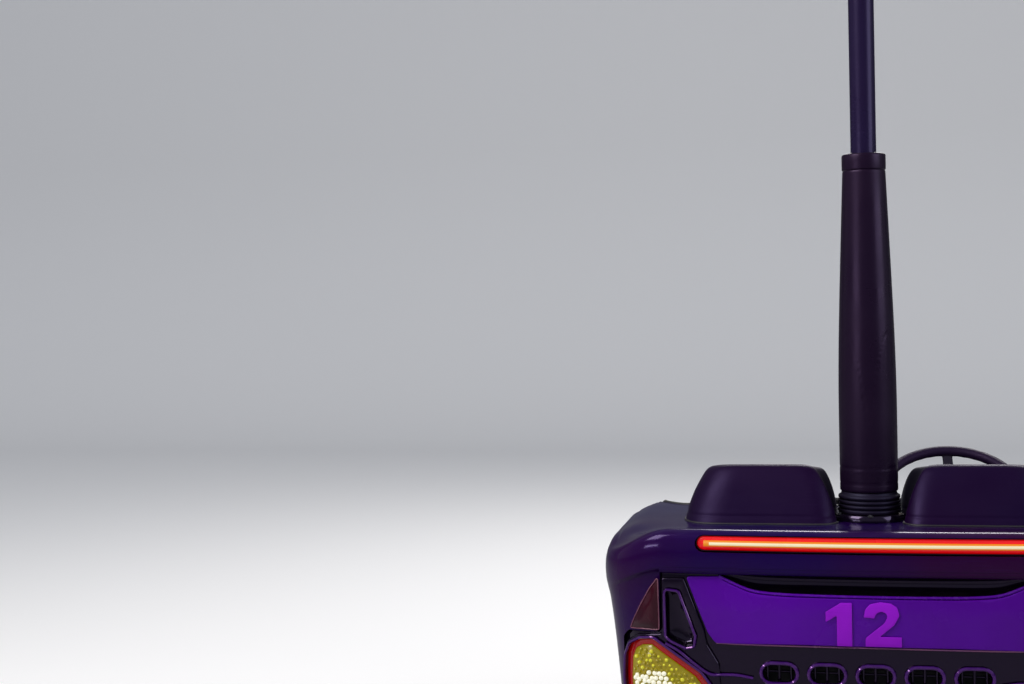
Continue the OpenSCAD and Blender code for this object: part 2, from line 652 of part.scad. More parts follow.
// The inner side keeps this far from the mast's axis
function scoop(x, y, r) = max(x, sqrt(max(0, r * r - pow(y + mast_y, 2))));
function hump_ring(h) =
    let(x0 = hump_x0 + h[2], x1 = hump_x1 - h[1], y0 = hump_y0 + h[3], y1 = hump_y1 - h[4], r = h[5],
        round_r = min(r, 30), z = mix(deck_z + run, hump_top, h[0]), keep = flange_d / 2 + 9 + h[2],
        outer = [for (c = [[x1 - r, y0 + r, -90], [x1 - r, y1 - r, 0]], k = [0:5]) let(a = c[2] + 18 * k)
            [c[0] + r * cos(a), c[1] + r * sin(a)]],
        front = [for (k = [0:2]) [x0 + round_r * (1 - sin(45 * k)), y1 - round_r * (1 - cos(45 * k))]],
        inner = [for (k = [1:7]) [x0, mix(y1 - round_r, y0 + round_r, k / 8)]],
        rear = [for (k = [0:2]) [x0 + round_r * (1 - cos(45 * k)), y0 + round_r * (1 - sin(45 * k))]])
    [for (p = concat(outer, front, inner, rear)) [scoop(p[0], p[1], keep), p[1], z]];
module headrest(sign) color("#2a0f3e") mirror([sign > 0 ? 0 : 1, 0, 0])
    skin([for (h = hump_sections) hump_ring(h)]);
module headrest_left() headrest(-1);
module headrest_right() headrest(1);

module dashboard() color("#17131c")
    translate([-dash_w, cockpit_front, 0]) rotate([90, 0, 90]) linear_extrude(2 * dash_w) polygon([
        [-34, dash_z], [30, dash_z], [34, dash_z + 40], [34, dash_top - 12], [4, dash_top], [-14, dash_top],
        [-36, dash_top - 16], [-44, dash_top - 46], [-44, dash_z + 12]]);

// Steering

module steer_frame() translate([steer_x, steer_y, steer_z]) rotate([steer_lean, 0, 0]) children();
module steering_column() color("#2a2a30") difference() {
    union() {
        steer_frame() translate([0, 0, -column_top - column_l]) cylinder(d = column_d, h = column_l);
        // Bracket to the dashboard
        box(steer_x - 20, steer_x + 20, steer_y + 110, cockpit_front - 44 - run, dash_z + 14, dash_z + 34);
    }
    steer_frame() translate([0, 0, -column_top - column_l - 1])
        cylinder(d = shaft_d + 2 * fit, h = column_l + 100);
}
module steering_shaft() color("#8c8d92") steer_frame()
    translate([0, 0, -column_top - column_l - 20]) cylinder(d = shaft_d, h = column_top + column_l + 20 - 16);
module steering_wheel() color("#1c1422") steer_frame() {
    rotate_extrude() translate([(steer_d - rim_d) / 2, 0]) circle(d = rim_d, $fn = 24);
    translate([0, 0, -16 + run]) cylinder(d = 90, h = 26);
    for (a = [-30, 90, 210])
        rotate([0, 0, a]) translate([35, -16, -12]) cube([(steer_d - rim_d) / 2 - 35, 32, 8]);
}

module pedal() color("#7a7b80") translate([steer_x - 45, toe_y - 122, floor_z + floor_t + run])
    rotate([90, 0, 90]) linear_extrude(90) polygon([[0, 0], [70, 0], [96, 62], [88, 66], [60, 12], [0, 6]]);

// Mast: a post up to the deck, a sprung pivot in a rubber boot, then the tube in its sleeve

module mast_post() color("#3c3d42") translate([0, -mast_y, 0]) {
    translate([0, 0, rail_z + 10 + run]) cylinder(d = post_d - 4 * fit, h = deck_z - rail_z - 10);
    for (sign = [-1, 1])
        translate([sign * (tongue_w / 2 + 1 + lug_t / 2) - lug_t / 2, -15, deck_z - weld])
            cube([lug_t, 30, pivot_z - deck_z + 14]);
    translate([-tongue_w / 2 - 1 - lug_t - 3, 0, pivot_z]) rotate([0, 90, 0])
        cylinder(d = pivot_d, h = tongue_w + 2 + 2 * lug_t + 6);
}
module mast_flange() color("#15101c") translate([0, -mast_y, deck_z + run]) difference() {
    cylinder(d1 = flange_d, d2 = flange_d - 8, h = flange_h);
    translate([0, 0, -1]) cylinder(d = post_d + 2, h = 60);
}
module mast_boot() color("#0e0c12") translate([0, -mast_y, deck_z + flange_h + 2 * run]) {
    h = boot_top - deck_z - flange_h - 2 * run;
    rotate_extrude() polygon([[48, 0], [boot_r, 0], for (i = [0:3]) each [
        [boot_r, (i + 0.35) * h / 4], [boot_r - 5, (i + 0.5) * h / 4], [boot_r - 5, (i + 0.7) * h / 4],
        [boot_r, (i + 0.85) * h / 4]], [boot_r, h], [48, h]]);
}
module mast_pole() color("#1c1a26") translate([0, -mast_y, 0]) {
    foot = sleeve_foot + 2;
    tube_l = shoe_z - 16 - foot;
    translate([0, 0, foot]) difference() {
        cylinder(d = mast_d, h = tube_l);
        translate([0, 0, 20]) cylinder(d = mast_d - 2 * mast_t, h = tube_l - 40);
    }
    difference() {
        union() {
            translate([-tongue_w / 2, -14, pivot_z]) cube([tongue_w, 28, foot - pivot_z + weld]);
            translate([-tongue_w / 2, 0, pivot_z]) rotate([0, 90, 0]) cylinder(r = 14, h = tongue_w);
        }
        translate([-tongue_w, 0, pivot_z]) rotate([0, 90, 0])
            cylinder(d = pivot_d + 2 * fit, h = 2 * tongue_w);
    }
    // Tongue and pin of the contact shoe
    translate([-6, -10, shoe_z - 16 - weld]) cube([12, 20, 26]);
    translate([-18, 0, shoe_z]) rotate([0, 90, 0]) cylinder(d = shoe_pin_d, h = 36);
}
// The sleeve's side from its foot: share of its height, share of the step from its top's width to its foot's
sleeve_rows = [[0, 1], [0.28, 1], [0.42, 0.9], [0.56, 0.71], [0.77, 0.36], [0.95, 0.05]];
module mast_sleeve() color("#1a1626") translate([0, -mast_y, sleeve_foot]) {
    tall = sleeve_top - sleeve_foot;
    rotate_extrude() polygon(concat(
        [for (p = sleeve_rows) [mix(sleeve_top_d - 3, sleeve_foot_d, p[1]) / 2, p[0] * tall]],
        [[sleeve_top_d / 2 - 1.5, tall - collar_h], [sleeve_top_d / 2, tall - collar_h + 1.5],
        [sleeve_top_d / 2, tall - 3], [sleeve_top_d / 2 - 3, tall],
        [mast_d / 2 + run, tall], [mast_d / 2 + run, 0]]));
}
module contact_shoe() color("#b08a3c") translate([0, -mast_y, 0]) difference() {
    union() {
        translate([-35, 0, 0]) rotate([90, 0, 90]) linear_extrude(70) polygon([
            [-110, mast_top - 14], [-100, mast_top - 18], [-70, mast_top - 8], [70, mast_top - 8],
            [100, mast_top - 18], [110, mast_top - 14], [78, mast_top], [-78, mast_top]]);
        for (sign = [-1, 1])
            translate([sign * 11.5 - 4, -12, shoe_z - 12]) cube([8, 24, mast_top - 6 - shoe_z + 12]);
    }
    translate([-50, 0, shoe_z]) rotate([0, 90, 0]) cylinder(d = shoe_pin_d + 2 * fit, h = 100);
}

chassis_frame();
rear_axle();
bumper_channel();
bumper_tube();
rear_shell();
side_panel_left();
side_panel_right();
front_shell();
cockpit_tub();
seat_plinth();
seat_cushion_left();
seat_cushion_right();
seat_back_left();
seat_back_right();
headrest_left();
headrest_right();
rear_fascia();
number_panel();
rear_grille();
light_bar();
lamp_surround_left();
lamp_surround_right();
tail_lamp_left();
tail_lamp_right();
fin_left();
fin_right();
nose_grille();
headlamp_left();
headlamp_right();
dashboard();
steering_column();
steering_shaft();
steering_wheel();
pedal();
drive_unit();
drive_motor();
drive_wheel();
rear_wheel_left();
rear_wheel_right();
mast_post();
mast_flange();
mast_boot();
mast_sleeve();
mast_pole();
contact_shoe();
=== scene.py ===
import bpy
import bmesh
import math
import random
from mathutils import Matrix, Vector


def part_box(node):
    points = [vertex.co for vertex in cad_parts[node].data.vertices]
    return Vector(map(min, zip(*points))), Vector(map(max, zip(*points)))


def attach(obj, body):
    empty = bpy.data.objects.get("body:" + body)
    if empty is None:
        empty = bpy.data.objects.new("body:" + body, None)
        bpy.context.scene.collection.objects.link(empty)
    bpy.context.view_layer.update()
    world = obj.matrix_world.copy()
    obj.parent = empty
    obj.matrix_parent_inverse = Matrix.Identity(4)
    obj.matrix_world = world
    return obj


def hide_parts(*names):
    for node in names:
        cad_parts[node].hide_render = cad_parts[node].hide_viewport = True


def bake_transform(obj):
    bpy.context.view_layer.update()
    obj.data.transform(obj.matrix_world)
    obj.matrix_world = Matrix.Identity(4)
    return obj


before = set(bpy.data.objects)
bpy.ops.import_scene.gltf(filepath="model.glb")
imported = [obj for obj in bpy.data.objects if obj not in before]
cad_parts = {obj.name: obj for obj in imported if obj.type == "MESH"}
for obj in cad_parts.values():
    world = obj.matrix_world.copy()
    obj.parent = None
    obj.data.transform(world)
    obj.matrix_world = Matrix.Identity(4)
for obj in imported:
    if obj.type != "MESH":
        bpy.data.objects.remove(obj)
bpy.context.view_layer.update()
print("frame loaded")

# General helpers

sides = ((-1, "left"), (1, "right"))


def mix(a, b, t):
    return a + (b - a) * t


def clamp(t):
    return min(max(t, 0.0), 1.0)


def ease(a, b, v):
    t = clamp((v - a) / (b - a))
    return t * t * (3 - 2 * t)


# The values from a to b in n equal steps
def span(a, b, n):
    return [mix(a, b, k / n) for k in range(n + 1)]


# The angles of n equal parts of a full turn
def turns(n):
    return [2 * math.pi * k / n for k in range(n)]


def rotation(degrees, axis):
    return Matrix.Rotation(math.radians(degrees), 4, axis)


def around(r, angle, z):
    return (r * math.cos(angle), r * math.sin(angle), z)


def lookup(v, rows):
    if v <= rows[0][0]:
        return rows[0][1]
    for (a, fa), (b, fb) in zip(rows, rows[1:]):
        if v <= b:
            return mix(fa, fb, (v - a) / (b - a))
    return rows[-1][1]


# Points along a smooth curve through the given ones
def smoothLine(points, steps):
    pts = [Vector(p) for p in points]
    pts = [pts[0] * 2 - pts[1]] + pts + [pts[-1] * 2 - pts[-2]]
    out = []
    for p0, p1, p2, p3 in zip(pts, pts[1:], pts[2:], pts[3:]):
        d0, d1, d2 = [max((b - a).length, 1e-7) ** 0.5 for a, b in ((p0, p1), (p1, p2), (p2, p3))]
        m1 = ((p1 - p0) / d0 - (p2 - p0) / (d0 + d1) + (p2 - p1) / d1) * d1
        m2 = ((p2 - p1) / d1 - (p3 - p1) / (d1 + d2) + (p3 - p2) / d2) * d1
        for t in span(0, 1, steps)[:-1]:
            out.append(p1 * (2 * t ** 3 - 3 * t ** 2 + 1) + m1 * (t ** 3 - 2 * t ** 2 + t)
                       + p2 * (3 * t ** 2 - 2 * t ** 3) + m2 * (t ** 3 - t ** 2))
    return out + [pts[-2]]


# An outline with its corners rounded, as 2D points; a third number of a point is its own radius
def roundOutline(points, radius, steps=5):
    out = []
    for before, point, after in zip(points[-1:] + points, points, points[1:] + points[:1]):
        p = Vector(point[:2])
        a, b = Vector(before[:2]) - p, Vector(after[:2]) - p
        shortest = min(a.length * 0.48, b.length * 0.48)
        a.normalize()
        b.normalize()
        r = point[2] if len(point) > 2 else radius
        cut = min(r / max(math.tan(a.angle(b) / 2), 1e-4), shortest)
        start, end = p + a * cut, p + b * cut
        out += [start * (1 - t) ** 2 + p * 2 * t * (1 - t) + end * t * t for t in span(0, 1, steps)]
    return out


def stadiumOutline(width, height, cx, cz, steps=10):
    r = height / 2
    return [Vector((cx + side * (width / 2 - r) + r * math.cos(a), cz + r * math.sin(a)))
            for side in (1, -1) for a in span(-side * math.pi / 2, (2 - side) * math.pi / 2, steps)]


def mirrorX(points):
    return [Vector((-p[0], *p[1:])) for p in points][::-1]


# The place and turn of a part that stands on a surface, with its Z along the direction
def facing(place, direction):
    return Matrix.Translation(place) @ Vector(direction).to_track_quat("Z", "Y").to_matrix().to_4x4()


# Bags gather the vertices and faces of several forms, which become one piece together
class Bag:
    def __init__(self):
        self.vertices = []
        self.faces = []
        self.slots = []

    def add(self, vertices, faces, matrix=None, slot=0):
        base = len(self.vertices)
        self.vertices += [tuple(matrix @ Vector(v)) if matrix else tuple(v) for v in vertices]
        self.faces += [tuple(base + i for i in f) for f in faces]
        self.slots += [slot] * len(faces)

    # Rings of equal length joined by quads
    def loft(self, rings, closedRing=True, closedPath=False, capStart=False, capEnd=False, matrix=None, slot=0):
        m = len(rings[0])
        n = len(rings)
        faces = []
        for i in range(n if closedPath else n - 1):
            k = (i + 1) % n
            for j in range(m if closedRing else m - 1):
                q = (j + 1) % m
                faces.append((i * m + j, i * m + q, k * m + q, k * m + j))
        if capStart:
            faces.append(tuple(range(m - 1, -1, -1)))
        if capEnd:
            faces.append(tuple((n - 1) * m + j for j in range(m)))
        self.add([v for ring in rings for v in ring], faces, matrix, slot)

    # A profile of (radius, height) points turned round Z
    def lathe(self, profile, segments=48, matrix=None, slot=0, closed=False):
        rings = [[around(r, a, z) for a in turns(segments)] for r, z in profile]
        caps = [not closed and r > 1e-6 for r in (profile[0][0], profile[-1][0])]
        self.loft(rings, True, closed, *caps, matrix, slot)

    # A tube of a given radius along points
    def tube(self, points, radius, sides=10, closed=False, matrix=None, slot=0):
        pts = [Vector(p) for p in points]
        n = len(pts)
        rings = []
        normal = None
        for i, p in enumerate(pts):
            a = pts[i - 1] if closed or i else pts[0]
            b = pts[(i + 1) % n] if closed or i < n - 1 else pts[-1]
            along = (b - a).normalized()
            if normal is None:
                normal = along.orthogonal().normalized()
            normal = (normal - along * normal.dot(along)).normalized()
            side = along.cross(normal)
            rings.append([p + normal * radius * math.cos(t) + side * radius * math.sin(t) for t in turns(sides)])
        if closed:
            # The last ring is turned to meet the first
            best = min(range(sides), key=lambda s: sum((rings[-1][(k + s) % sides] - rings[0][k]).length
                                                       for k in range(sides)))
            for i in range(n if best else 0):
                angle = i / (n - 1) * best * 2 * math.pi / sides
                turn = Matrix.Rotation(angle, 3, (pts[(i + 1) % n] - pts[i - 1]).normalized())
                rings[i] = [pts[i] + turn @ (v - pts[i]) for v in rings[i]]
        self.loft(rings, True, closed, not closed, not closed, matrix, slot)

    # A block with rounded edges
    def block(self, low, high, radius=0.002, matrix=None, slot=0, steps=2):
        bm = bmesh.new()
        bmesh.ops.create_cube(bm, size=1.0)
        size = [h - l for l, h in zip(low, high)]
        mid = [(h + l) / 2 for l, h in zip(low, high)]
        for v in bm.verts:
            v.co = Vector([m + c * s for m, c, s in zip(mid, v.co, size)])
        if radius > 0:
            bmesh.ops.bevel(bm, geom=bm.edges[:], offset=min(radius, min(size) * 0.45), segments=steps,
                            profile=0.5, affect="EDGES")
        self.add([v.co.copy() for v in bm.verts], [[v.index for v in f.verts] for f in bm.faces], matrix, slot)
        bm.free()

    # A hexagon head or nut with a chamfer, standing along the direction
    def bolt(self, place, direction, radius=0.006, height=0.005, washer=True, slot=0):
        m = facing(place, direction)
        if washer:
            self.lathe([(radius * 1.5, 0), (radius * 1.5, height * 0.22), (radius * 1.42, height * 0.3),
                        (0.0005, height * 0.3)], 20, m, slot)
        rings = [[around(radius * r, a, height * z) for a in turns(6)]
                 for r, z in ((1, 0.2), (1, 0.85), (0.86, 1.0))]
        self.loft(rings, True, False, False, True, m, slot)

    # A domed rivet or button head
    def rivet(self, place, direction, radius=0.004, slot=0, segments=14):
        rows = [(radius, 0)] + [(radius * math.cos(a), radius * 0.55 * math.sin(a)) for a in
                                [math.radians(v) for v in (15, 40, 65, 86)]]
        self.lathe(rows, segments, facing(place, direction), slot)


pieceCount = 0


def linkObject(name, data):
    obj = bpy.data.objects.new(name, data)
    bpy.context.collection.objects.link(obj)
    return obj


def meshObject(name, bag, merge=None):
    mesh = bpy.data.meshes.new(name)
    mesh.from_pydata(bag.vertices, [], bag.faces)
    mesh.polygons.foreach_set("material_index", bag.slots)
    bm = bmesh.new()
    bm.from_mesh(mesh)
    if merge:
        bmesh.ops.remove_doubles(bm, verts=bm.verts[:], dist=merge)
    bmesh.ops.recalc_face_normals(bm, faces=bm.faces[:])
    bm.to_mesh(mesh)
    bm.free()
    return linkObject(name, mesh)


def setSmooth(mesh, angle=35):
    mesh.polygons.foreach_set("use_smooth", [True] * len(mesh.polygons))
    mesh.set_sharp_from_angle(angle=math.radians(angle))


def setSubdivision(obj, levels):
    sub = obj.modifiers.new("smooth", "SUBSURF")
    sub.levels = sub.render_levels = levels
    bakeModifiers(obj)


def makePiece(name, bag, materials, smooth=35, replaced=None, body="car_body", subdivide=0,
              merge=None):
    obj = meshObject(name, bag, merge)
    for material in materials if isinstance(materials, list) else [materials]:
        obj.data.materials.append(material)
    if subdivide:
        setSubdivision(obj, subdivide)
    setSmooth(obj.data, smooth)
    settle(obj, replaced, body)
    return obj


def tubePiece(name, points, radius, materials, smooth=60, segments=8, closed=False):
    bag = Bag()
    bag.tube(points, radius, segments, closed)
    return makePiece(name, bag, materials, smooth)


# Counts a piece, puts it under its body and hides the CAD node that it replaces
def settle(obj, replaced=None, body="car_body"):
    global pieceCount
    pieceCount += 1
    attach(obj, body)
    if replaced:
        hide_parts(replaced)


# Replaces an object's mesh by what its modifiers make of it
def bakeModifiers(obj):
    graph = bpy.context.evaluated_depsgraph_get()
    made = bpy.data.meshes.new_from_object(obj.evaluated_get(graph), preserve_all_data_layers=True, depsgraph=graph)
    old = obj.data
    obj.modifiers.clear()
    obj.data = made
    made.name = old.name
    bpy.data.meshes.remove(old)


# Cuts the shapes in the bags out of an object
def cutOut(obj, bags):
    helpers = [meshObject("cutter", bag) for bag in bags]
    for helper in helpers:
        cut = obj.modifiers.new("cut", "BOOLEAN")
        cut.operation = "DIFFERENCE"
        cut.solver = "EXACT"
        cut.object = helper
    bakeModifiers(obj)
    for helper in helpers:
        mesh = helper.data
        bpy.data.objects.remove(helper)
        bpy.data.meshes.remove(mesh)


# A plate with holes: outlines in X and Z, put through place(x, z, depth) for each point. Its edges are rounded.
def plate(bag, outer, holes, thickness, place, edge=0.001, step=0.02, slot=0, lift=None, edgeSteps=2):
    curve = bpy.data.curves.new("plate", "CURVE")
    curve.dimensions = "2D"
    curve.fill_mode = "BOTH"
    edge = min(edge, thickness * 0.49)
    curve.extrude = thickness / 2 - edge
    curve.bevel_depth = edge
    curve.bevel_resolution = edgeSteps
    curve.offset = -edge
    for line in [outer] + list(holes):
        s = curve.splines.new("POLY")
        s.points.add(len(line) - 1)
        for point, p in zip(s.points, line):
            point.co = (p[0], p[1], 0, 1)
        s.use_cyclic_u = True
    obj = linkObject("plate", curve)
    mesh = bpy.data.meshes.new_from_object(obj.evaluated_get(bpy.context.evaluated_depsgraph_get()))
    bm = bmesh.new()
    bm.from_mesh(mesh)
    bmesh.ops.remove_doubles(bm, verts=bm.verts[:], dist=1e-6)
    bmesh.ops.dissolve_limit(bm, angle_limit=math.radians(1), verts=bm.verts[:], edges=bm.edges[:])
    for normal in (Vector((1, 0, 0)), Vector((0, 1, 0))) if step else ():
        reach = [v.co.dot(normal) for v in bm.verts]
        low, high = min(reach), max(reach)
        count = int((high - low) / step)
        for i in range(1, count + 1):
            bmesh.ops.bisect_plane(bm, geom=bm.verts[:] + bm.edges[:] + bm.faces[:], dist=1e-6,
                                   plane_co=normal * (low + (high - low) * i / (count + 1)), plane_no=normal)
    bm.verts.index_update()
    verts = []
    for v in bm.verts:
        rise = lift(v.co.x, v.co.y) if lift and v.co.z > 0 else 0
        verts.append(place(v.co.x, v.co.y, thickness / 2 - v.co.z - rise))
    bag.add(verts, [[v.index for v in f.verts] for f in bm.faces], None, slot)
    bm.free()
    bpy.data.objects.remove(obj)
    bpy.data.curves.remove(curve)
    bpy.data.meshes.remove(mesh)


print("helpers ready")


# Links sockets, or sets their values
def feed(tree, node, links):
    for key, value in links.items():
        if isinstance(value, bpy.types.NodeSocket):
            tree.links.new(value, node.inputs[key])
        else:
            node.inputs[key].default_value = value
    return node


def addNode(tree, kind, links=None, **values):
    node = tree.nodes.new("ShaderNode" + kind)
    for key, value in values.items():
        setattr(node, key, value)
    return feed(tree, node, links or {})


# A number that goes from 0 to 1 between two values of its input
def rampMath(tree, value, low, high):
    return addNode(tree, "MapRange", {"Value": value, "From Min": low, "From Max": high}, clamp=True,
                   interpolation_type="SMOOTHSTEP").outputs["Result"]


def mathNode(tree, operation, a, b, useClamp=False):
    return addNode(tree, "Math", {0: a, 1: b}, operation=operation, use_clamp=useClamp).outputs[0]


def noiseNode(tree, coords, scale, detail, roughness=0.5):
    links = {"Vector": coords, "Scale": scale, "Detail": detail, "Roughness": roughness}
    return addNode(tree, "TexNoise", links).outputs["Fac"]


# Shared shader node groups: each gives a mask, a height or a colour that the materials use with their own values
def newGroup(name, inputs, outputs):
    group = bpy.data.node_groups.new(name, "ShaderNodeTree")
    for label, value in inputs.items():
        kind = "Color" if value is None else "Float"
        socket = group.interface.new_socket(name=label, in_out="INPUT", socket_type="NodeSocket" + kind)
        if value is not None:
            socket.default_value = value
    for label in outputs:
        kind = "Color" if label == "Color" else "Float"
        group.interface.new_socket(name=label, in_out="OUTPUT", socket_type="NodeSocket" + kind)
    source = group.nodes.new("NodeGroupInput").outputs
    return group, source, group.nodes.new("NodeGroupOutput"), addNode(group, "TexCoord").outputs["Object"]


def buildGrain():
    group, source, target, coords = newGroup("fine grain", {"Scale": 900, "Waviness": 0.3}, ["Height", "Variation"])
    fine = noiseNode(group, coords, source["Scale"], 3, 0.6)
    cells = addNode(group, "TexVoronoi", {"Vector": coords, "Scale": source["Scale"]})
    both = addNode(group, "Mix", {0: source["Waviness"], 2: cells.outputs["Distance"], 3: fine}, data_type="FLOAT")
    feed(group, target, {"Height": both.outputs[0], "Variation": noiseNode(group, coords, 9, 4)})
    return group


def buildWear():
    group, source, target, coords = newGroup("edge wear", {"Amount": 0.5, "Scale": 30}, ["Mask"])
    edge = rampMath(group, addNode(group, "NewGeometry").outputs["Pointiness"], 0.52, 0.62)
    patch = rampMath(group, noiseNode(group, coords, source["Scale"], 6, 0.65), 0.42, 0.68)
    product = mathNode(group, "MULTIPLY", edge, patch)
    feed(group, target, {"Mask": mathNode(group, "MULTIPLY", product, source["Amount"], True)})
    return group


def buildDust():
    group, source, target, coords = newGroup("settled dust", {"Amount": 0.3, "Low": 0, "High": 0.6}, ["Mask"])
    facingUp = addNode(group, "SeparateXYZ", {0: addNode(group, "NewGeometry").outputs["Normal"]})
    spot = addNode(group, "SeparateXYZ", {0: coords})
    up = rampMath(group, facingUp.outputs["Z"], 0.35, 1.0)
    cloud = rampMath(group, noiseNode(group, coords, 14, 8, 0.7), 0.35, 0.8)
    low = addNode(group, "MapRange", {"Value": spot.outputs["Z"], "From Min": source["Low"],
                                      "From Max": source["High"], "To Min": 1.0, "To Max": 0.0}, clamp=True)
    both = mathNode(group, "MAXIMUM", mathNode(group, "MULTIPLY", up, 0.6), low.outputs["Result"])
    product = mathNode(group, "MULTIPLY", both, cloud)
    feed(group, target, {"Mask": mathNode(group, "MULTIPLY", product, source["Amount"], True)})
    return group


def buildScratches():
    group, source, target, coords = newGroup("fine scratches", {"Scale": 6, "Density": 0.5}, ["Mask"])
    layers = []
    for angle, stretch in ((0.3, 60.0), (1.25, 48.0), (2.2, 70.0)):
        turned = addNode(group, "Mapping", {"Vector": coords, "Rotation": (angle, angle * 1.7, 0.4),
                                            "Scale": (1.0, stretch, stretch)})
        layers.append(rampMath(group, noiseNode(group, turned.outputs[0], source["Scale"], 1), 0.66, 0.72))
    best = mathNode(group, "MAXIMUM", mathNode(group, "MAXIMUM", layers[0], layers[1]), layers[2])
    where = rampMath(group, noiseNode(group, coords, 5, 2), 0.4, 0.65)
    product = mathNode(group, "MULTIPLY", best, where)
    feed(group, target, {"Mask": mathNode(group, "MULTIPLY", product, source["Density"], True)})
    return group


def buildDrift():
    inputs = {"Base": None, "Other": None, "Scale": 3, "Amount": 0.5}
    group, source, target, coords = newGroup("colour drift", inputs, ["Color"])
    cloud = rampMath(group, noiseNode(group, coords, source["Scale"], 5, 0.55), 0.3, 0.7)
    share = mathNode(group, "MULTIPLY", cloud, source["Amount"])
    blend = addNode(group, "Mix", {0: share, 6: source["Base"], 7: source["Other"]}, data_type="RGBA")
    feed(group, target, {"Color": blend.outputs[2]})
    return group


grainGroup, wearGroup, dustGroup = buildGrain(), buildWear(), buildDust()
scratchGroup, driftGroup = buildScratches(), buildDrift()


def linear(colour):
    return tuple((c / 12.92 if c <= 0.04045 else ((c + 0.055) / 1.055) ** 2.4) for c in
                 [v / 255 for v in colour[:3]]) + (1.0,)


def placeGroup(tree, group, **values):
    return feed(tree, addNode(tree, "Group", node_tree=group), values)


lookInputs = {"specular": "Specular IOR Level", "tint": "Specular Tint", "coat": "Coat Weight",
              "coatRough": "Coat Roughness", "metallic": "Metallic", "sheen": "Sheen Weight",
              "sheenRough": "Sheen Roughness", "transmission": "Transmission Weight", "ior": "IOR"}


# A surface finish. Colours are in 0-255 sRGB: the main one and the one that it drifts to. The effects are drift
# (amount, scale), grain (height, scale, waviness), wear (amount, scale, colour), dust (amount, low, high, colour),
# scratches (amount, scale, colour) and glow (colour, strength). The rest goes to the shader.
def finish(name, colour, other, rough, drift, grain, spread=0.1, wear=None, dust=None, scratches=None, glow=None,
           bumpDistance=0.001, **look):
    material = bpy.data.materials.new(name)
    material.use_nodes = True
    tree = material.node_tree
    principled = tree.nodes["Principled BSDF"]
    for key, value in look.items():
        principled.inputs[lookInputs[key]].default_value = (*value, 1) if key == "tint" else value
    base = placeGroup(tree, driftGroup, Base=linear(colour), Other=linear(other), Scale=drift[1],
                      Amount=drift[0]).outputs["Color"]
    grainHeight, grainScale, waviness = (*grain, 0.3)[:3]
    grains = placeGroup(tree, grainGroup, Scale=grainScale, Waviness=waviness)
    roughness = addNode(tree, "MapRange", {"Value": grains.outputs["Variation"], "From Min": 0.3, "From Max": 0.7,
                                           "To Min": max(rough - spread, 0.02), "To Max": min(rough + spread, 1.0)},
                        clamp=True).outputs["Result"]

    def layer(group, layerColour, layerRough, **values):
        nonlocal base, roughness
        mask = placeGroup(tree, group, **values).outputs["Mask"]
        base = addNode(tree, "Mix", {0: mask, 6: base, 7: linear(layerColour)}, data_type="RGBA").outputs[2]
        roughness = addNode(tree, "Mix", {0: mask, 2: roughness, 3: layerRough}, data_type="FLOAT").outputs[0]

    if scratches:
        lighter = scratches[2] if len(scratches) > 2 else [min(255, c + 38) for c in colour]
        layer(scratchGroup, lighter, min(rough + 0.25, 1.0), Scale=scratches[1], Density=scratches[0])
    if wear:
        layer(wearGroup, wear[2], min(rough + 0.2, 1.0), Amount=wear[0], Scale=wear[1])
    if dust:
        dustColour = dust[3] if len(dust) > 3 else (120, 112, 104)
        layer(dustGroup, dustColour, 0.95, Amount=dust[0], Low=dust[1], High=dust[2])
    feed(tree, principled, {"Base Color": base, "Roughness": roughness})
    if grainHeight:
        bump = addNode(tree, "Bump", {"Strength": grainHeight, "Distance": bumpDistance,
                                      "Height": grains.outputs["Height"]})
        feed(tree, principled, {"Normal": bump.outputs["Normal"]})
    if glow:
        feed(tree, principled, {"Emission Color": linear(glow[0]), "Emission Strength": glow[1]})
    return material


# The specular tints colour the reflections of the white studio light: the violet ones are painted violet reflections
# and highlights, the fins' reddish one a painted red reflection.
gloss = {"specular": 0.2, "tint": (0.5, 0.3, 1), "coat": 0.13, "coatRough": 0.05}
bodyPaint = finish("bodyPaint", (18, 2, 66), (44, 3, 38), 0.17, (0.9, 1.3), (0.03, 260, 1.0), spread=0.04,
                   wear=(0.18, 60, (58, 40, 92)), dust=(0.06, 0.34, 0.44), scratches=(0.1, 6, (46, 30, 92)), **gloss)
humpPlastic = finish("humpPlastic", (15, 2, 34), (24, 3, 34), 0.46, (0.7, 2.0), (0.15, 700, 0.5),
                     wear=(0.12, 50, (64, 44, 88)), scratches=(0.1, 5, (50, 30, 74)), specular=0.18,
                     tint=(0.55, 0.4, 1))
blackGloss = finish("blackGloss", (7, 3, 13), (13, 4, 20), 0.13, (0.6, 3), (0.03, 300, 1.0), spread=0.04,
                    wear=(0.15, 70, (62, 48, 84)), dust=(0.06, 0.36, 0.5), scratches=(0.1, 6, (40, 28, 56)),
                    specular=0.32, tint=(0.66, 0.42, 1), coat=0.3, coatRough=0.04)
# Violet rims: their violet colour is a painted highlight, for violet light caught on the rims of the openings,
# pockets, lamps and lips.
rimPaintedHighlight = finish("rimPaintedHighlight", (50, 6, 88), (34, 4, 62), 0.12, (0.6, 8), (0.02, 300), spread=0.03,
                  wear=(0.2, 70, (110, 70, 150)), specular=0.9, tint=(0.86, 0.36, 1), coat=0.3, coatRough=0.03)
panelViolet = finish("panelViolet", (86, 0, 158), (68, 0, 122), 0.26, (0.8, 1.7), (0.03, 200, 1.0), spread=0.03,
                     wear=(0.25, 80, (134, 92, 176)), specular=0.34, tint=(0.66, 0.3, 1), coat=0.2, coatRough=0.08)
# A light lilac that paints the highlight on the number panel's rounded lower edge.
lilacPaintedHighlight = finish("lilacPaintedHighlight", (122, 74, 104), (104, 50, 110), 0.24, (0.8, 8), (0.03, 300), spread=0.04,
                  wear=(0.2, 80, (170, 130, 160)), metallic=0.4, coat=0.3)
digitPaint = finish("digitPaint", (150, 24, 204), (138, 18, 190), 0.34, (0.6, 12), (0.04, 240, 1.0),
                    scratches=(0.12, 6, (92, 10, 146)), specular=0.34, tint=(0.8, 0.4, 1))
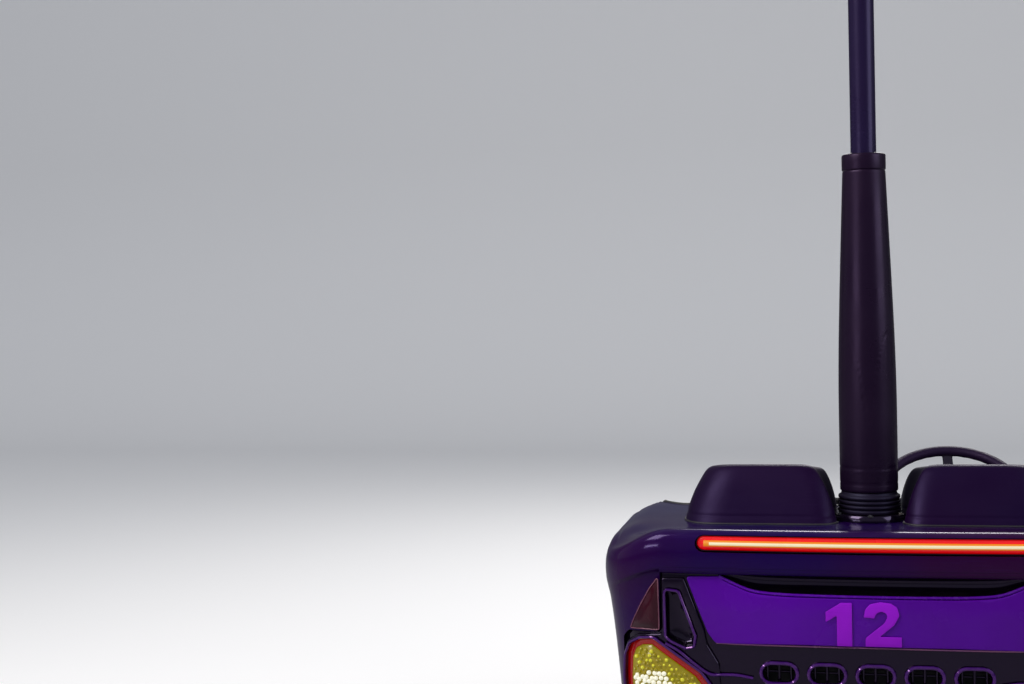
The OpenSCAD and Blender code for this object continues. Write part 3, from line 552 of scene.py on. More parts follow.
mastSatin = finish("mastSatin", (18, 7, 26), (24, 8, 28), 0.34, (0.6, 1.4), (0.04, 420), wear=(0.2, 45, (66, 54, 76)),
                   scratches=(0.12, 4, (46, 34, 56)), specular=0.24, tint=(0.8, 0.55, 1))
poleSteel = finish("poleSteel", (26, 16, 50), (30, 14, 44), 0.28, (0.5, 1.0), (0.02, 700), spread=0.04,
                   scratches=(0.08, 3, (60, 48, 84)), metallic=0.15, specular=0.3, tint=(0.7, 0.6, 1))
bootRubber = finish("bootRubber", (16, 9, 24), (22, 12, 30), 0.5, (0.6, 18), (0.15, 800),
                    dust=(0.1, 0.0, 0.1, (70, 60, 84)), specular=0.3, tint=(0.6, 0.6, 1))
bumperRubber = finish("bumperRubber", (22, 22, 24), (32, 31, 32), 0.68, (0.7, 5), (0.3, 420), spread=0.15,
                      wear=(0.55, 22, (70, 68, 68)), dust=(0.5, 0.12, 0.3), scratches=(0.7, 3, (74, 72, 72)))
tubPlastic = finish("tubPlastic", (26, 23, 32), (34, 30, 40), 0.62, (0.6, 6), (0.35, 620),
                    wear=(0.35, 30, (78, 74, 86)), dust=(0.55, 0.18, 0.34), scratches=(0.5, 4))
seatVinyl = finish("seatVinyl", (40, 26, 58), (32, 20, 48), 0.46, (0.5, 7), (0.5, 360, 0.35),
                   wear=(0.3, 26, (96, 82, 112)), dust=(0.2, 0.2, 0.4), scratches=(0.15, 6), bumpDistance=0.0008,
                   sheen=0.12, sheenRough=0.5)
pipingVinyl = finish("pipingVinyl", (118, 24, 150), (98, 18, 130), 0.42, (0.5, 3), (0.25, 500),
                     wear=(0.3, 30, (170, 120, 190)))
chassisPaint = finish("chassisPaint", (52, 53, 58), (44, 45, 50), 0.52, (0.7, 8), (0.2, 260),
                      wear=(0.5, 28, (96, 82, 74)), dust=(0.45, 0.1, 0.3), scratches=(0.5, 6))
brightSteel = finish("brightSteel", (188, 188, 192), (166, 166, 172), 0.28, (0.6, 12), (0.05, 900),
                     wear=(0.2, 30, (120, 112, 104)), scratches=(0.45, 6, (214, 214, 218)), metallic=1.0)
darkSteel = finish("darkSteel", (96, 97, 102), (78, 78, 84), 0.42, (0.7, 10), (0.1, 500),
                   wear=(0.5, 30, (112, 80, 58)), dust=(0.3, 0.05, 0.3), scratches=(0.4, 6), metallic=0.9)
motorCast = finish("motorCast", (70, 74, 80), (60, 63, 70), 0.55, (0.6, 14), (0.5, 300, 0.8),
                   wear=(0.5, 30, (128, 128, 130)), dust=(0.4, 0.28, 0.48), metallic=0.4)
tyreRubber = finish("tyreRubber", (28, 28, 30), (40, 39, 39), 0.74, (0.7, 14), (0.35, 500), dust=(0.5, 0.0, 0.2),
                    scratches=(0.3, 6))
wheelGrip = finish("wheelGrip", (24, 12, 36), (30, 14, 42), 0.5, (0.5, 12), (0.4, 520), wear=(0.25, 26, (64, 52, 78)),
                   specular=0.18, tint=(0.8, 0.6, 1))
contactBrass = finish("contactBrass", (176, 136, 66), (140, 104, 48), 0.34, (0.8, 20), (0.1, 420),
                      wear=(0.4, 30, (96, 72, 46)), scratches=(0.6, 8, (220, 184, 112)), metallic=1.0)
finGloss = finish("finGloss", (52, 5, 22), (36, 4, 20), 0.14, (0.8, 9), (0.02, 300), spread=0.04,
                  wear=(0.2, 90, (140, 84, 96)), specular=0.35, tint=(1, 0.5, 0.6), coat=0.3, coatRough=0.03)
# Light pinkish edging of the fins: a painted highlight on their edges.
finPaintedHighlight = finish("finPaintedHighlight", (112, 66, 84), (92, 50, 74), 0.2, (0.7, 12), (0.03, 300), wear=(0.3, 90, (170, 130, 140)),
                 specular=0.6, tint=(1, 0.7, 0.8))
trimRubber = finish("trimRubber", (16, 14, 18), (24, 21, 27), 0.55, (0.5, 3), (0.25, 600),
                    wear=(0.25, 30, (60, 56, 64)), dust=(0.2, 0.3, 0.5))
treadPlate = finish("treadPlate", (150, 151, 156), (128, 129, 134), 0.38, (0.6, 16), (0.1, 500),
                    wear=(0.5, 30, (196, 196, 200)), dust=(0.4, 0.18, 0.3), scratches=(0.6, 6), metallic=0.85)
ledCore = finish("ledCore", (150, 146, 122), (146, 136, 104), 0.4, (0.4, 40), (0.05, 900), glow=((255, 240, 196), 0.6))
ledAmber = finish("ledAmber", (150, 90, 20), (146, 76, 14), 0.4, (0.5, 30), (0.05, 900), glow=((255, 150, 18), 0.55))
ledRed = finish("ledRed", (196, 8, 18), (168, 4, 14), 0.22, (0.5, 14), (0.03, 300), glow=((214, 4, 10), 0.55),
                coat=0.4)
lampRed = finish("lampRed", (142, 6, 8), (104, 4, 8), 0.2, (0.5, 12), (0.03, 300), glow=((170, 8, 6), 0.26), coat=0.3)
lampAmber = finish("lampAmber", (128, 120, 8), (122, 94, 8), 0.3, (0.6, 26), (0.05, 300), glow=((150, 138, 8), 0.3),
                   coat=0.3)
ledDot = finish("ledDot", (176, 174, 44), (178, 160, 36), 0.25, (0.5, 40), (0.03, 900), glow=((200, 196, 40), 0.4))
ledHot = finish("ledHot", (176, 176, 160), (180, 172, 140), 0.25, (0.3, 40), (0.03, 900), glow=((255, 252, 232), 0.55))
chrome = finish("chrome", (214, 216, 222), (190, 192, 200), 0.12, (0.4, 8), (0.02, 900), spread=0.06,
                wear=(0.2, 30, (130, 128, 126)), scratches=(0.25, 6), metallic=1.0)
clearLens = finish("clearLens", (236, 240, 246), (224, 230, 240), 0.06, (0.3, 3), (0.02, 900), spread=0.03,
                   scratches=(0.2, 6, (250, 250, 252)), transmission=0.92, ior=1.45)
print("materials ready")

# Body shell: the same sections as the solids, with smooth curves through them
shell = {"halfWidth": 0.512, "rear": 0.9, "front": 0.892, "rearCorner": 0.14, "frontCorner": 0.3, "rearBow": 5.5,
         "frontBow": 1.5, "ridge": 0.854, "fall": 0.064, "dish": 0.016, "entry": 0.56, "nose": 0.52,
         "bonnet": 0.742, "low": 0.3523, "thickness": 0.005, "wingStart": -0.33, "wingEnd": -0.06,
         "cowlStart": 0.19, "cowlEnd": 0.4, "rearJoint": -0.04, "frontJoint": 0.18, "seam": 0.002,
         "lip": 0.006, "flatTo": 0.366, "frontFrom": 0.18, "swell": 0.03}
opening = {"halfWidth": 0.44, "rear": 0.43, "front": 0.42, "rearCorner": 0.09, "frontCorner": 0.06, "frontBow": 9.0}


def arc(cx, cy, r, a0, a1, n):
    angles = [math.radians(a) for a in span(a0, a1, n)]
    return [(cx + r * math.cos(a), cy + r * math.sin(a), math.cos(a), math.sin(a)) for a in angles]


def halfEnd(w, reach, r, bow, bowSteps, cornerSteps):
    turn = math.asin((w - r) / (bow - r))
    degrees = math.degrees(turn)
    first = arc(0, reach - bow, bow, 90, 90 - degrees, bowSteps)
    return first + arc(w - r, reach - bow + (bow - r) * math.cos(turn), r, 90 - degrees, 0, cornerSteps)[1:]


def sideLine(w, y0, y1, n):
    return [(w, y, 1, 0) for y in span(y0, y1, n)[1:]]


def flipX(stations):
    return [(-x, y, -nx, ny) for x, y, nx, ny in stations]


def flipY(stations):
    return [(x, -y, nx, -ny) for x, y, nx, ny in stations]


def ridgeAt(x):
    over = max(0.0, abs(x) - shell["flatTo"]) / (shell["halfWidth"] - shell["flatTo"])
    return shell["ridge"] - shell["fall"] * over ** 2


def bonnetAt(x, y):
    along = clamp((y - shell["cowlEnd"]) / (shell["front"] - shell["cowlEnd"]))
    return mix(shell["bonnet"], shell["nose"], along ** 1.35) - 0.045 * (abs(x) / shell["halfWidth"]) ** 3


# The shoulders swell behind the rear corners and sink again towards the way in
def topAt(x, y):
    if y < shell["frontFrom"]:
        swell = shell["swell"] * ease(0.38, 0.5, abs(x)) * ease(-0.88, -0.68, y) * (1 - ease(-0.42, -0.16, y))
        return mix(ridgeAt(x) + swell, shell["entry"], ease(shell["wingStart"], shell["wingEnd"], y))
    return mix(shell["entry"], bonnetAt(x, y), ease(shell["cowlStart"], shell["cowlEnd"], y))


def deckAt(x, y):
    if y >= 0:
        return topAt(x, y)
    return topAt(x, y) - shell["dish"] * ease(shell["rear"] - 0.02, shell["rear"] - 0.15, -y)


def wallRows(top):
    tall = top - shell["low"]
    return [(shell["low"], 0.034), (shell["low"] + 0.38 * tall, 0.026), (top - min(0.11, 0.5 * tall), 0.009),
            (top - min(0.062, 0.32 * tall), 0.0)]


# Steps between the points of a section, the first of them up the wall
wallSteps = [7, 12, 18, 8, 6, 6, 2, 2, 3, 3, 3, 3, 3, 3]


# One section of the shell, up the wall, over the shoulder and across the deck; fade is the share of the band's lip
def sectionLine(s, e, fade=0.0):
    top = topAt(s[0], s[1])
    wall = [(d, z) for z, d in wallRows(top)] + [(0.001, top - 0.026), (0.008, top - 0.008), (0.022, top)]
    points = [Vector((s[0] - d * s[2], s[1] - d * s[3], z)) for d, z in wall]
    start = points[-1]
    for t in (0.07, 0.15, 0.26, 0.4, 0.55, 0.7, 0.85, 1):
        x, y = mix(start.x, e[0], t), mix(start.y, e[1], t)
        points.append(Vector((x, y, deckAt(x, y))))
    line = []
    whole = [points[0] * 2 - points[1]] + points + [points[-1] * 2 - points[-2]]
    for i, steps in enumerate(wallSteps):
        part = smoothLine(whole[i:i + 4], steps)
        line += part[steps:2 * steps]
    line.append(points[-1])
    if fade:
        inward = Vector((-s[2], -s[3], 0))
        for p in line[:sum(wallSteps[:4])]:
            drop = top - p.z
            share = ease(0.069, 0.078, drop) * (1 - ease(0.086, 0.2, drop))
            p += inward * shell["lip"] * fade * share
    return line


# Both halves of the stations of the shell and of its opening, from the middle of an end to a joint
def joinHalves(s, e, end, steps, fade):
    s = s + sideLine(shell["halfWidth"], s[-1][1], end, steps)
    e = e + sideLine(opening["halfWidth"], e[-1][1], end, steps)
    return flipX(s)[::-1] + s[1:], flipX(e)[::-1] + e[1:], fade[::-1] + fade[1:]


def shellStations():
    bowN, cornerN, rearN = 34, 26, 54
    s = flipY(halfEnd(shell["halfWidth"], shell["rear"], shell["rearCorner"], shell["rearBow"], bowN, cornerN))
    e = flipY(halfEnd(opening["halfWidth"], opening["rear"], opening["rearCorner"], shell["rearBow"], bowN, cornerN))
    fade = [1.0] * (bowN + 1) + [1 - ease(0.15, 0.85, t) for t in span(0, 1, cornerN)[1:]] + [0.0] * rearN
    rear = joinHalves(s, e, shell["rearJoint"] - shell["seam"] / 2, rearN, fade)
    bowN, cornerN, frontN = 26, 40, 40
    s = halfEnd(shell["halfWidth"], shell["front"], shell["frontCorner"], shell["frontBow"], bowN, cornerN)
    e = halfEnd(opening["halfWidth"], opening["front"], opening["frontCorner"], opening["frontBow"], bowN, cornerN)
    fade = [0.0] * (bowN + cornerN + 1 + frontN)
    return rear, joinHalves(s, e, shell["frontJoint"] + shell["seam"] / 2, frontN, fade)


rearStations, frontStations = shellStations()


# A wall of the shell from its sections, with what is cut out of it and the CAD node that it replaces
def shellPiece(name, node, lines, cutters=()):
    bag = Bag()
    bag.loft(lines, closedRing=False)
    mesh = bpy.data.meshes.new(name)
    mesh.from_pydata(bag.vertices, [], bag.faces)
    mesh.materials.append(bodyPaint)
    # The outer side has to look away from the car's middle
    centre = Vector((0, 0, 0.45))
    if sum(1 if p.normal.dot(Vector(p.center) - centre) > 0 else -1 for p in mesh.polygons) < 0:
        mesh.flip_normals()
    obj = linkObject(name, mesh)
    wall = obj.modifiers.new("wall", "SOLIDIFY")
    wall.thickness = shell["thickness"]
    wall.offset = -1
    bakeModifiers(obj)
    if cutters:
        cutOut(obj, cutters)
    setSmooth(obj.data, 32)
    settle(obj, node)


def prism(outline, y0, y1):
    bag = Bag()
    bag.loft([[(p[0], y0, p[1]) for p in outline], [(p[0], y1, p[1]) for p in outline]], capStart=True, capEnd=True)
    return bag


# Rear face: where its surface is at a point of the picture plane, and the recessed face below it
def insetY(x, depth):
    r, bow, w, reach = shell["rearCorner"], shell["rearBow"], shell["halfWidth"], shell["rear"]
    turn = math.asin((w - r) / (bow - r))
    cy = reach - bow + (bow - r) * math.cos(turn)
    if abs(x) <= w - r + 0.004:
        return -(reach - bow + math.sqrt((bow - depth) ** 2 - x * x))
    return -(cy + math.sqrt(max((r - depth) ** 2 - (abs(x) - (w - r)) ** 2, 1e-8)))


def wallDepth(x, z):
    return lookup(z, wallRows(ridgeAt(x)))


def rearY(x, z, extra=0.0):
    return insetY(x, wallDepth(min(abs(x), 0.44), z) + extra)


face = {"depth": 0.016, "thickness": 0.006, "holeTop": 0.784}


def faceDepth(z):
    return max(face["depth"], lookup(z, wallRows(shell["ridge"])) + 0.004)


def onFace(x, z, w):
    return Vector((x, insetY(x, faceDepth(z) + w), z))


fasciaHalf = [(0.38, 0.42, 0.03), (0.474, 0.48, 0.03), (0.47, 0.64, 0.012), (0.458, 0.655, 0.01),
              (0.394, 0.66, 0.012), (0.392, face["holeTop"], 0.004)]


def bothSides(half):
    return [Vector(p) for p in half] + [Vector((-p[0], *p[1:])) for p in half[::-1]]


fasciaHole = roundOutline(bothSides(fasciaHalf), 0.01)
groove = {"length": 0.648, "height": 0.032, "z": 0.83}


# The light bar's outline, narrowed
def barOutline(narrower=0.0, lower=0.0):
    return stadiumOutline(groove["length"] - narrower, groove["height"] - lower, 0, groove["z"])


shellPiece("rearShell", "rear_shell", [sectionLine(s, e, f) for s, e, f in zip(*rearStations)],
           [prism(fasciaHole, -1.0, -0.74), prism(barOutline(), -1.0, -0.879)])

noseHalf = [(0.19, 0.372, 0.02), (0.214, 0.4, 0.02), (0.2, 0.46, 0.016), (0.06, 0.468, 0.06)]
noseHole = roundOutline(bothSides(noseHalf), 0.01)
lampHole = {"x": 0.3, "y": 0.83, "z": 0.45, "radius": 0.0605, "turn": 24}


def headlampMatrix(side):
    place = Matrix.Translation((side * lampHole["x"], lampHole["y"], lampHole["z"]))
    return place @ rotation(-side * lampHole["turn"], "Z") @ rotation(-90, "X")


frontCutters = [prism(noseHole, 0.7, 1.0)]
for side, name in sides:
    bag = Bag()
    bag.lathe([(lampHole["radius"], -0.08), (lampHole["radius"], 0.08)], 64, headlampMatrix(side))
    frontCutters.append(bag)
shellPiece("frontShell", "front_shell", [sectionLine(s, e) for s, e in zip(*frontStations[:2])], frontCutters)

for side, name in sides:
    shellPiece("sidePanel_" + name, "side_panel_" + name,
               [sectionLine((side * shell["halfWidth"], y, side, 0), (side * opening["halfWidth"], y, side, 0))
                for y in span(shell["rearJoint"] + 0.001, shell["frontJoint"] - 0.001, 12)])
print("shells ready")

# The band's lower edge rolls inward over the fascia
band = {"roll": 0.009, "drop": 0.012, "inward": 0.05, "halfWidth": 0.392}
rollBag = Bag()
rings = []
for x in span(-band["halfWidth"], band["halfWidth"], 80):
    y0 = rearY(x, face["holeTop"])
    ring = []
    for a in span(0, math.pi / 2, 8):
        ring.append((x, y0 + band["roll"] * (1 - math.cos(a)), face["holeTop"] - band["drop"] * math.sin(a)))
    ring.append((x, y0 + band["inward"], face["holeTop"] - band["drop"] + 0.001))
    ring.append((x, y0 + band["inward"], face["holeTop"] + 0.006))
    ring.append((x, y0 + 0.005, face["holeTop"] + 0.004))
    rings.append(ring)
rollBag.loft(rings, capStart=True, capEnd=True)
makePiece("bandRoll", rollBag, bodyPaint, 40)

# A bead round the fascia's opening, below the band
beadBag = Bag()
beadHalf = [(0.3905, 0.774, 0), (0.394, 0.66, 0.012), (0.458, 0.655, 0.01), (0.47, 0.64, 0.012), (0.474, 0.48, 0.03),
            (0.38, 0.42, 0.03), (0.3, 0.42, 0), (0.1, 0.42, 0), (0.1, 0.774, 0)]
beadLine = [p for p in roundOutline(beadHalf, 0.01) if p.x > 0.12]
for side, name in sides:
    beadBag.tube([(side * p.x, rearY(p.x, p.y) + 0.001, p.y) for p in beadLine], 0.0032, 8)
makePiece("fasciaBead", beadBag, bodyPaint, 60)

# Light bar: channel, red lens and an amber core with a white heart
bar = {"channelDepth": 0.018, "lensDepth": 0.008, "lensCrown": 0.0022, "coreHalf": 0.3075, "coreRadius": 0.0056,
       "heartRadius": 0.0032, "heartForward": 0.0033}
barBag, lensBag, coreBag = Bag(), Bag(), Bag()


def barPlace(x, z, w):
    return Vector((x, insetY(x, 0.0) + w, z))


plate(barBag, barOutline(0.001, 0.001), [barOutline(0.006, 0.006)], bar["channelDepth"],
      lambda x, z, w: barPlace(x, z, w + 0.0105), edge=0.0012)
plate(barBag, barOutline(0.004, 0.004), [], 0.003, lambda x, z, w: barPlace(x, z, w + 0.0175), edge=0.0005)
makePiece("barChannel", barBag, blackGloss, 40)
plate(lensBag, barOutline(0.0075, 0.0065), [], bar["lensDepth"], lambda x, z, w: barPlace(x, z, w + 0.0115),
      edge=0.003, lift=lambda x, z: bar["lensCrown"] * (1 - ((z - groove["z"]) / 0.014) ** 2), edgeSteps=4)
makePiece("barLens", lensBag, ledRed, 50, "light_bar")
coreLine = [barPlace(x, groove["z"] + 0.0005, 0.0058) for x in span(-bar["coreHalf"], bar["coreHalf"], 60)]
coreBag.tube(coreLine, bar["coreRadius"], 12)
coreBag.tube([p - Vector((0, bar["heartForward"], 0)) for p in coreLine[1:-1]], bar["heartRadius"], 12, slot=1)
makePiece("barCore", coreBag, [ledAmber, ledCore], 60)
print("light bar ready")

# Fascia with its row openings, scoop and pockets
slots = {"pitch": 0.087, "width": 0.066, "height": 0.038, "rows": (0.587, 0.537, 0.487), "rim": 0.0034}
lampLine = [(0.466, 0.51), (0.468, 0.56), (0.4645, 0.603), (0.4545, 0.628), (0.4345, 0.641), (0.4085, 0.645),
            (0.3945, 0.635), (0.3205, 0.583), (0.3035, 0.559), (0.299, 0.52), (0.311, 0.5), (0.45, 0.494)]
lampRadii = [0.02, 0.03, 0.03, 0.02, 0.016, 0.014, 0.014, 0.03, 0.016, 0.014, 0.01, 0.014]
pocketLine = [(0.384, 0.742, 0.008), (0.357, 0.739, 0.008), (0.327, 0.654, 0.012), (0.33, 0.633, 0.008),
              (0.346, 0.63, 0.01), (0.373, 0.642, 0.008), (0.384, 0.651, 0.01)]
scoopLine = [(-0.281, 0.768), (-0.25, 0.753), (-0.22, 0.742), (-0.18, 0.7375), (-0.1, 0.7355), (0, 0.735),
             (0.1, 0.7355), (0.18, 0.7375), (0.22, 0.742), (0.25, 0.753), (0.281, 0.768)]


# An outline moved outward by a distance
def grown(outline, distance):
    pts = [Vector(p[:2]) for p in outline]
    corners = list(zip(pts[-1:] + pts, pts, pts[1:] + pts[:1]))
    sign = 1 if sum(p.x * b.y - b.x * p.y for a, p, b in corners) > 0 else -1
    out = []
    for a, p, b in corners:
        d1, d2 = p - a, b - p
        if d1.length < 1e-7 or d2.length < 1e-7:
            out.append(p)
            continue
        d1.normalize()
        d2.normalize()
        n1, n2 = Vector((d1.y, -d1.x)) * sign, Vector((d2.y, -d2.x)) * sign
        m = n1 + n2
        m = m / max(m.length_squared, 0.4) * 2 if m.length > 1e-6 else n1
        out.append(p + m * distance * (1 if m.length < 1.6 else 1.6 / m.length))
    return out


lampOutline = roundOutline([(p[0], p[1], r) for p, r in zip(lampLine, lampRadii)], 0.01, 6)
pocketOutline = roundOutline(pocketLine, 0.01, 5)
scoopOutline = [Vector(p[:2]) for p in smoothLine([(x, z, 0) for x, z in scoopLine], 4)]
slotCentres = [(i * slots["pitch"], z) for z in slots["rows"] for i in range(-2, 3)]

faceBag = Bag()
holes = [stadiumOutline(slots["width"], slots["height"], x, z) for x, z in slotCentres]
holes += [lampOutline, mirrorX(lampOutline), pocketOutline, mirrorX(pocketOutline)]
faceLine = roundOutline(bothSides([(0.378, 0.422, 0.03), (0.472, 0.482, 0.03), (0.468, 0.638, 0.012),
                                   (0.456, 0.653, 0.01), (0.392, 0.658, 0.012), (0.3905, 0.7735, 0.003),
                                   (0.2845, 0.7735, 0.001)]), 0.01)
# The upper edge between the pockets follows the scoop
rest = [p for p in faceLine if p.y <= 0.7733 or abs(p.x) >= 0.286]
lastRight = max(i for i, p in enumerate(rest) if p.x > 0)
scoopTop = [Vector((0.2845, 0.7735))] + [Vector((-p.x, p.y)) for p in scoopOutline] + [Vector((-0.2845, 0.7735))]
faceOuter = rest[:lastRight + 1] + scoopTop + rest[lastRight + 1:]
plate(faceBag, faceOuter, holes, face["thickness"], lambda x, z, w: onFace(x, z, w + face["thickness"] / 2),
      edge=0.0015, step=0.012)
# The rims round the openings carry the painted violet highlight.
for x, z in slotCentres:
    line = stadiumOutline(slots["width"] + 0.001, slots["height"] + 0.001, x, z, 8)
    faceBag.tube([onFace(p.x, p.y, -0.0006) for p in line], slots["rim"], 8, closed=True, slot=1)
makePiece("rearFascia", faceBag, [blackGloss, rimPaintedHighlight], 38, "rear_fascia")

# The hand scoop, a concave hollow between the band and the panel's curved edge
scoop = {"depth": 0.03, "top": 0.7735}
scoopBag = Bag()
rings = []
for p in scoopOutline:
    low, half = p.y, max(0.0006, (scoop["top"] + 0.004 - p.y) / 2)
    share = clamp(abs(p.x) / 0.283)
    deep = scoop["depth"] * math.sqrt(max(1 - share ** 3, 0.002))
    ring = []
    for a in span(-math.pi / 2, math.pi / 2, 14):
        z = low + half + half * math.sin(a)
        base = onFace(p.x, min(max(z, low), 0.77), 0.0015)
        ring.append((p.x, base.y + deep * math.cos(a) ** 0.8 if math.cos(a) > 0 else base.y, z))
    rings.append(ring)
scoopBag.loft(rings, closedRing=False)
makePiece("handScoop", scoopBag, blackGloss, 80)
tubePiece("scoopRim", [onFace(p.x, p.y, -0.0006) for p in scoopOutline], 0.0028, panelViolet)


# A point straight behind the face
def behindFace(x, z, depth):
    return onFace(x, z, 0.0) + Vector((0, depth, 0))


# Dark lattice behind the openings
lattice = {"offsets": (-0.022, 0, 0.022), "low": 0.458, "high": 0.616, "halfWidth": 0.214}
grilleBag = Bag()
for x in [i * slots["pitch"] + dx for i in range(-2, 3) for dx in lattice["offsets"]]:
    grilleBag.tube([behindFace(x, z, 0.013) for z in span(lattice["low"], lattice["high"], 12)], 0.003, 8)
for z in [row + dz for row in slots["rows"] for dz in lattice["offsets"]]:
    grilleBag.tube([behindFace(x, z, 0.019) for x in span(-lattice["halfWidth"], lattice["halfWidth"], 16)], 0.0026, 8)
grilleBag.loft([[behindFace(x, z, 0.034) for x in span(-0.22, 0.22, 16)] for z in span(0.45, 0.63, 8)],
               closedRing=False, slot=1)
makePiece("rearGrille", grilleBag, [blackGloss, trimRubber], 50, "rear_grille")

# Number panel, crowned, with its plain number
panel = {"thickness": 0.005, "edge": 0.00225, "crown": 0.0035, "crownHalf": 0.36, "crownZ": 0.692, "crownRise": 0.075}
panelHalf = [(0.29, 0.6405, 0.012), (0.304, 0.66, 0.012), (0.3435, 0.7665, 0.006), (0.279, 0.768, 0.004)]
panelOutline = roundOutline(bothSides([(0.0, 0.644, 0.1), (0.14, 0.6432, 0.1)] + panelHalf)[1:], 0.01, 5)
panelTop = [Vector((p.x, p.y - 0.0035)) for p in scoopOutline]
lastRight = max(i for i, p in enumerate(panelOutline) if p.x > 0.27)
firstLeft = min(i for i, p in enumerate(panelOutline) if p.x < -0.27)
panelOuter = panelOutline[:lastRight + 1] + [Vector((-p.x, p.y)) for p in panelTop if abs(p.x) < 0.274] \
    + panelOutline[firstLeft:]


def panelCrown(x, z):
    across = 1 - (abs(x) / panel["crownHalf"]) ** 4
    up = 1 - ((z - panel["crownZ"]) / panel["crownRise"]) ** 2
    return panel["crown"] * clamp(across) * clamp(up)


panelBag = Bag()
plate(panelBag, panelOuter, [], panel["thickness"],
      lambda x, z, w: onFace(x, z, w - panel["thickness"] / 2 - 0.0004), edge=panel["edge"], step=0.01,
      lift=panelCrown, edgeSteps=4)
makePiece("numberPanel", panelBag, panelViolet, 50, "number_panel")

# A lilac tube along the panel's lower edge is a painted highlight on its rounded edge.
rimLine = smoothLine([(-0.2885, 0.6415, 0), (-0.24, 0.6405, 0), (-0.12, 0.6405, 0), (0, 0.641, 0), (0.12, 0.6405, 0),
                      (0.24, 0.6405, 0), (0.2885, 0.6415, 0)], 8)
tubePiece("panelPaintedHighlight", [onFace(p.x, p.y, -0.0022) for p in rimLine], 0.0017, lilacPaintedHighlight)

digitOne = [(-0.068, 0.6447), (-0.041, 0.6447), (-0.041, 0.7257), (-0.0606, 0.7257), (-0.088, 0.7082),
            (-0.088, 0.6892), (-0.068, 0.7017)]
digitTwo = [(-0.0174, 0.6453), (0.0464, 0.6453), (0.0464, 0.6643), (0.008, 0.6643), (0.0333, 0.6863),
            (0.0429, 0.7043), (0.039, 0.7188), (0.0276, 0.7263), (0.0093, 0.7283), (-0.0086, 0.7243),
            (-0.0174, 0.7143), (-0.02, 0.6998), (-0.0017, 0.6983), (0.0018, 0.7073), (0.0106, 0.7113),
            (0.0193, 0.7083), (0.0219, 0.7013), (0.0158, 0.6893), (-0.0174, 0.6613)]
digitBag = Bag()
# The foot of the two and the end of its stroke have sharper corners than its bow
soft = {0: 0.001, 1: 0.001, 2: 0.001, 3: 0.001, 12: 0.001, 11: 0.001}
for line in (roundOutline(digitOne, 0.0015, 3),
             roundOutline([(x, z, soft.get(i, 0.009)) for i, (x, z) in enumerate(digitTwo)], 0.01, 5)):
    plate(digitBag, line, [], 0.0007,
          lambda x, z, w: onFace(x, z, w - panel["thickness"] - 0.0007 - panelCrown(x, z)), edge=0.0002, step=0.008,
          edgeSteps=1)
makePiece("plainNumber", digitBag, digitPaint, 50)
print("panel ready")

# Surrounds of the tail lamps with the pocket beside the panel, the pocket's tray, the lamps and the fins
surroundLine = [(0.3475, 0.7635, 0.006), (0.311, 0.666, 0.012), (0.306, 0.638, 0.01), (0.284, 0.6, 0.02),
                (0.281, 0.5, 0.016), (0.3, 0.486, 0.014), (0.45, 0.48, 0.02), (0.4725, 0.5, 0.02),
                (0.4735, 0.6, 0.03), (0.462, 0.632, 0.02), (0.44, 0.65, 0.012), (0.3905, 0.6555, 0.006),
                (0.3905, 0.762, 0.006)]
lampPiece = {"rim": 0.0155, "crown": 0.012, "pitch": 0.0098, "jitter": 0.0016, "dot": (0.0022, 0.0042),
             "hotSize": 0.0046, "hotX": 0.412, "hotZ": 0.545, "hotRadius": 0.042, "margin": 0.005}
finLine = [(0.3955, 0.764, 0.002), (0.3955, 0.663, 0.005), (0.43, 0.662, 0.004), (0.4535, 0.66, 0.002),
           (0.4445, 0.682, 0.02), (0.4295, 0.712, 0.03), (0.411, 0.744, 0.03)]


def mirrored(points, side):
    return [Vector((side * p[0], p[1])) for p in points]


def inside(p, outline):
    hit = False
    for a, b in zip(outline, outline[1:] + outline[:1]):
        if (a[1] > p[1]) != (b[1] > p[1]) and p[0] < (b[0] - a[0]) * (p[1] - a[1]) / (b[1] - a[1]) + a[0]:
            hit = not hit
    return hit


def edgeDistance(p, outline):
    best = 1.0
    q = Vector(p[:2])
    for a, b in zip(outline, outline[1:] + outline[:1]):
        ab = b - a
        t = clamp((q - a).dot(ab) / max(ab.length_squared, 1e-12))
        best = min(best, (q - a - ab * t).length)
    return best


# An outline moved inward, without the loops that tight corners leave
def insetShape(outline, distance):
    moved = [p for p in grown(outline, -distance) if inside(p, outline) and
             edgeDistance(p, outline) > distance * 0.96]
    kept = [moved[0]]
    for p in moved[1:]:
        if (p - kept[-1]).length > 0.0012:
            kept.append(p)
    return kept


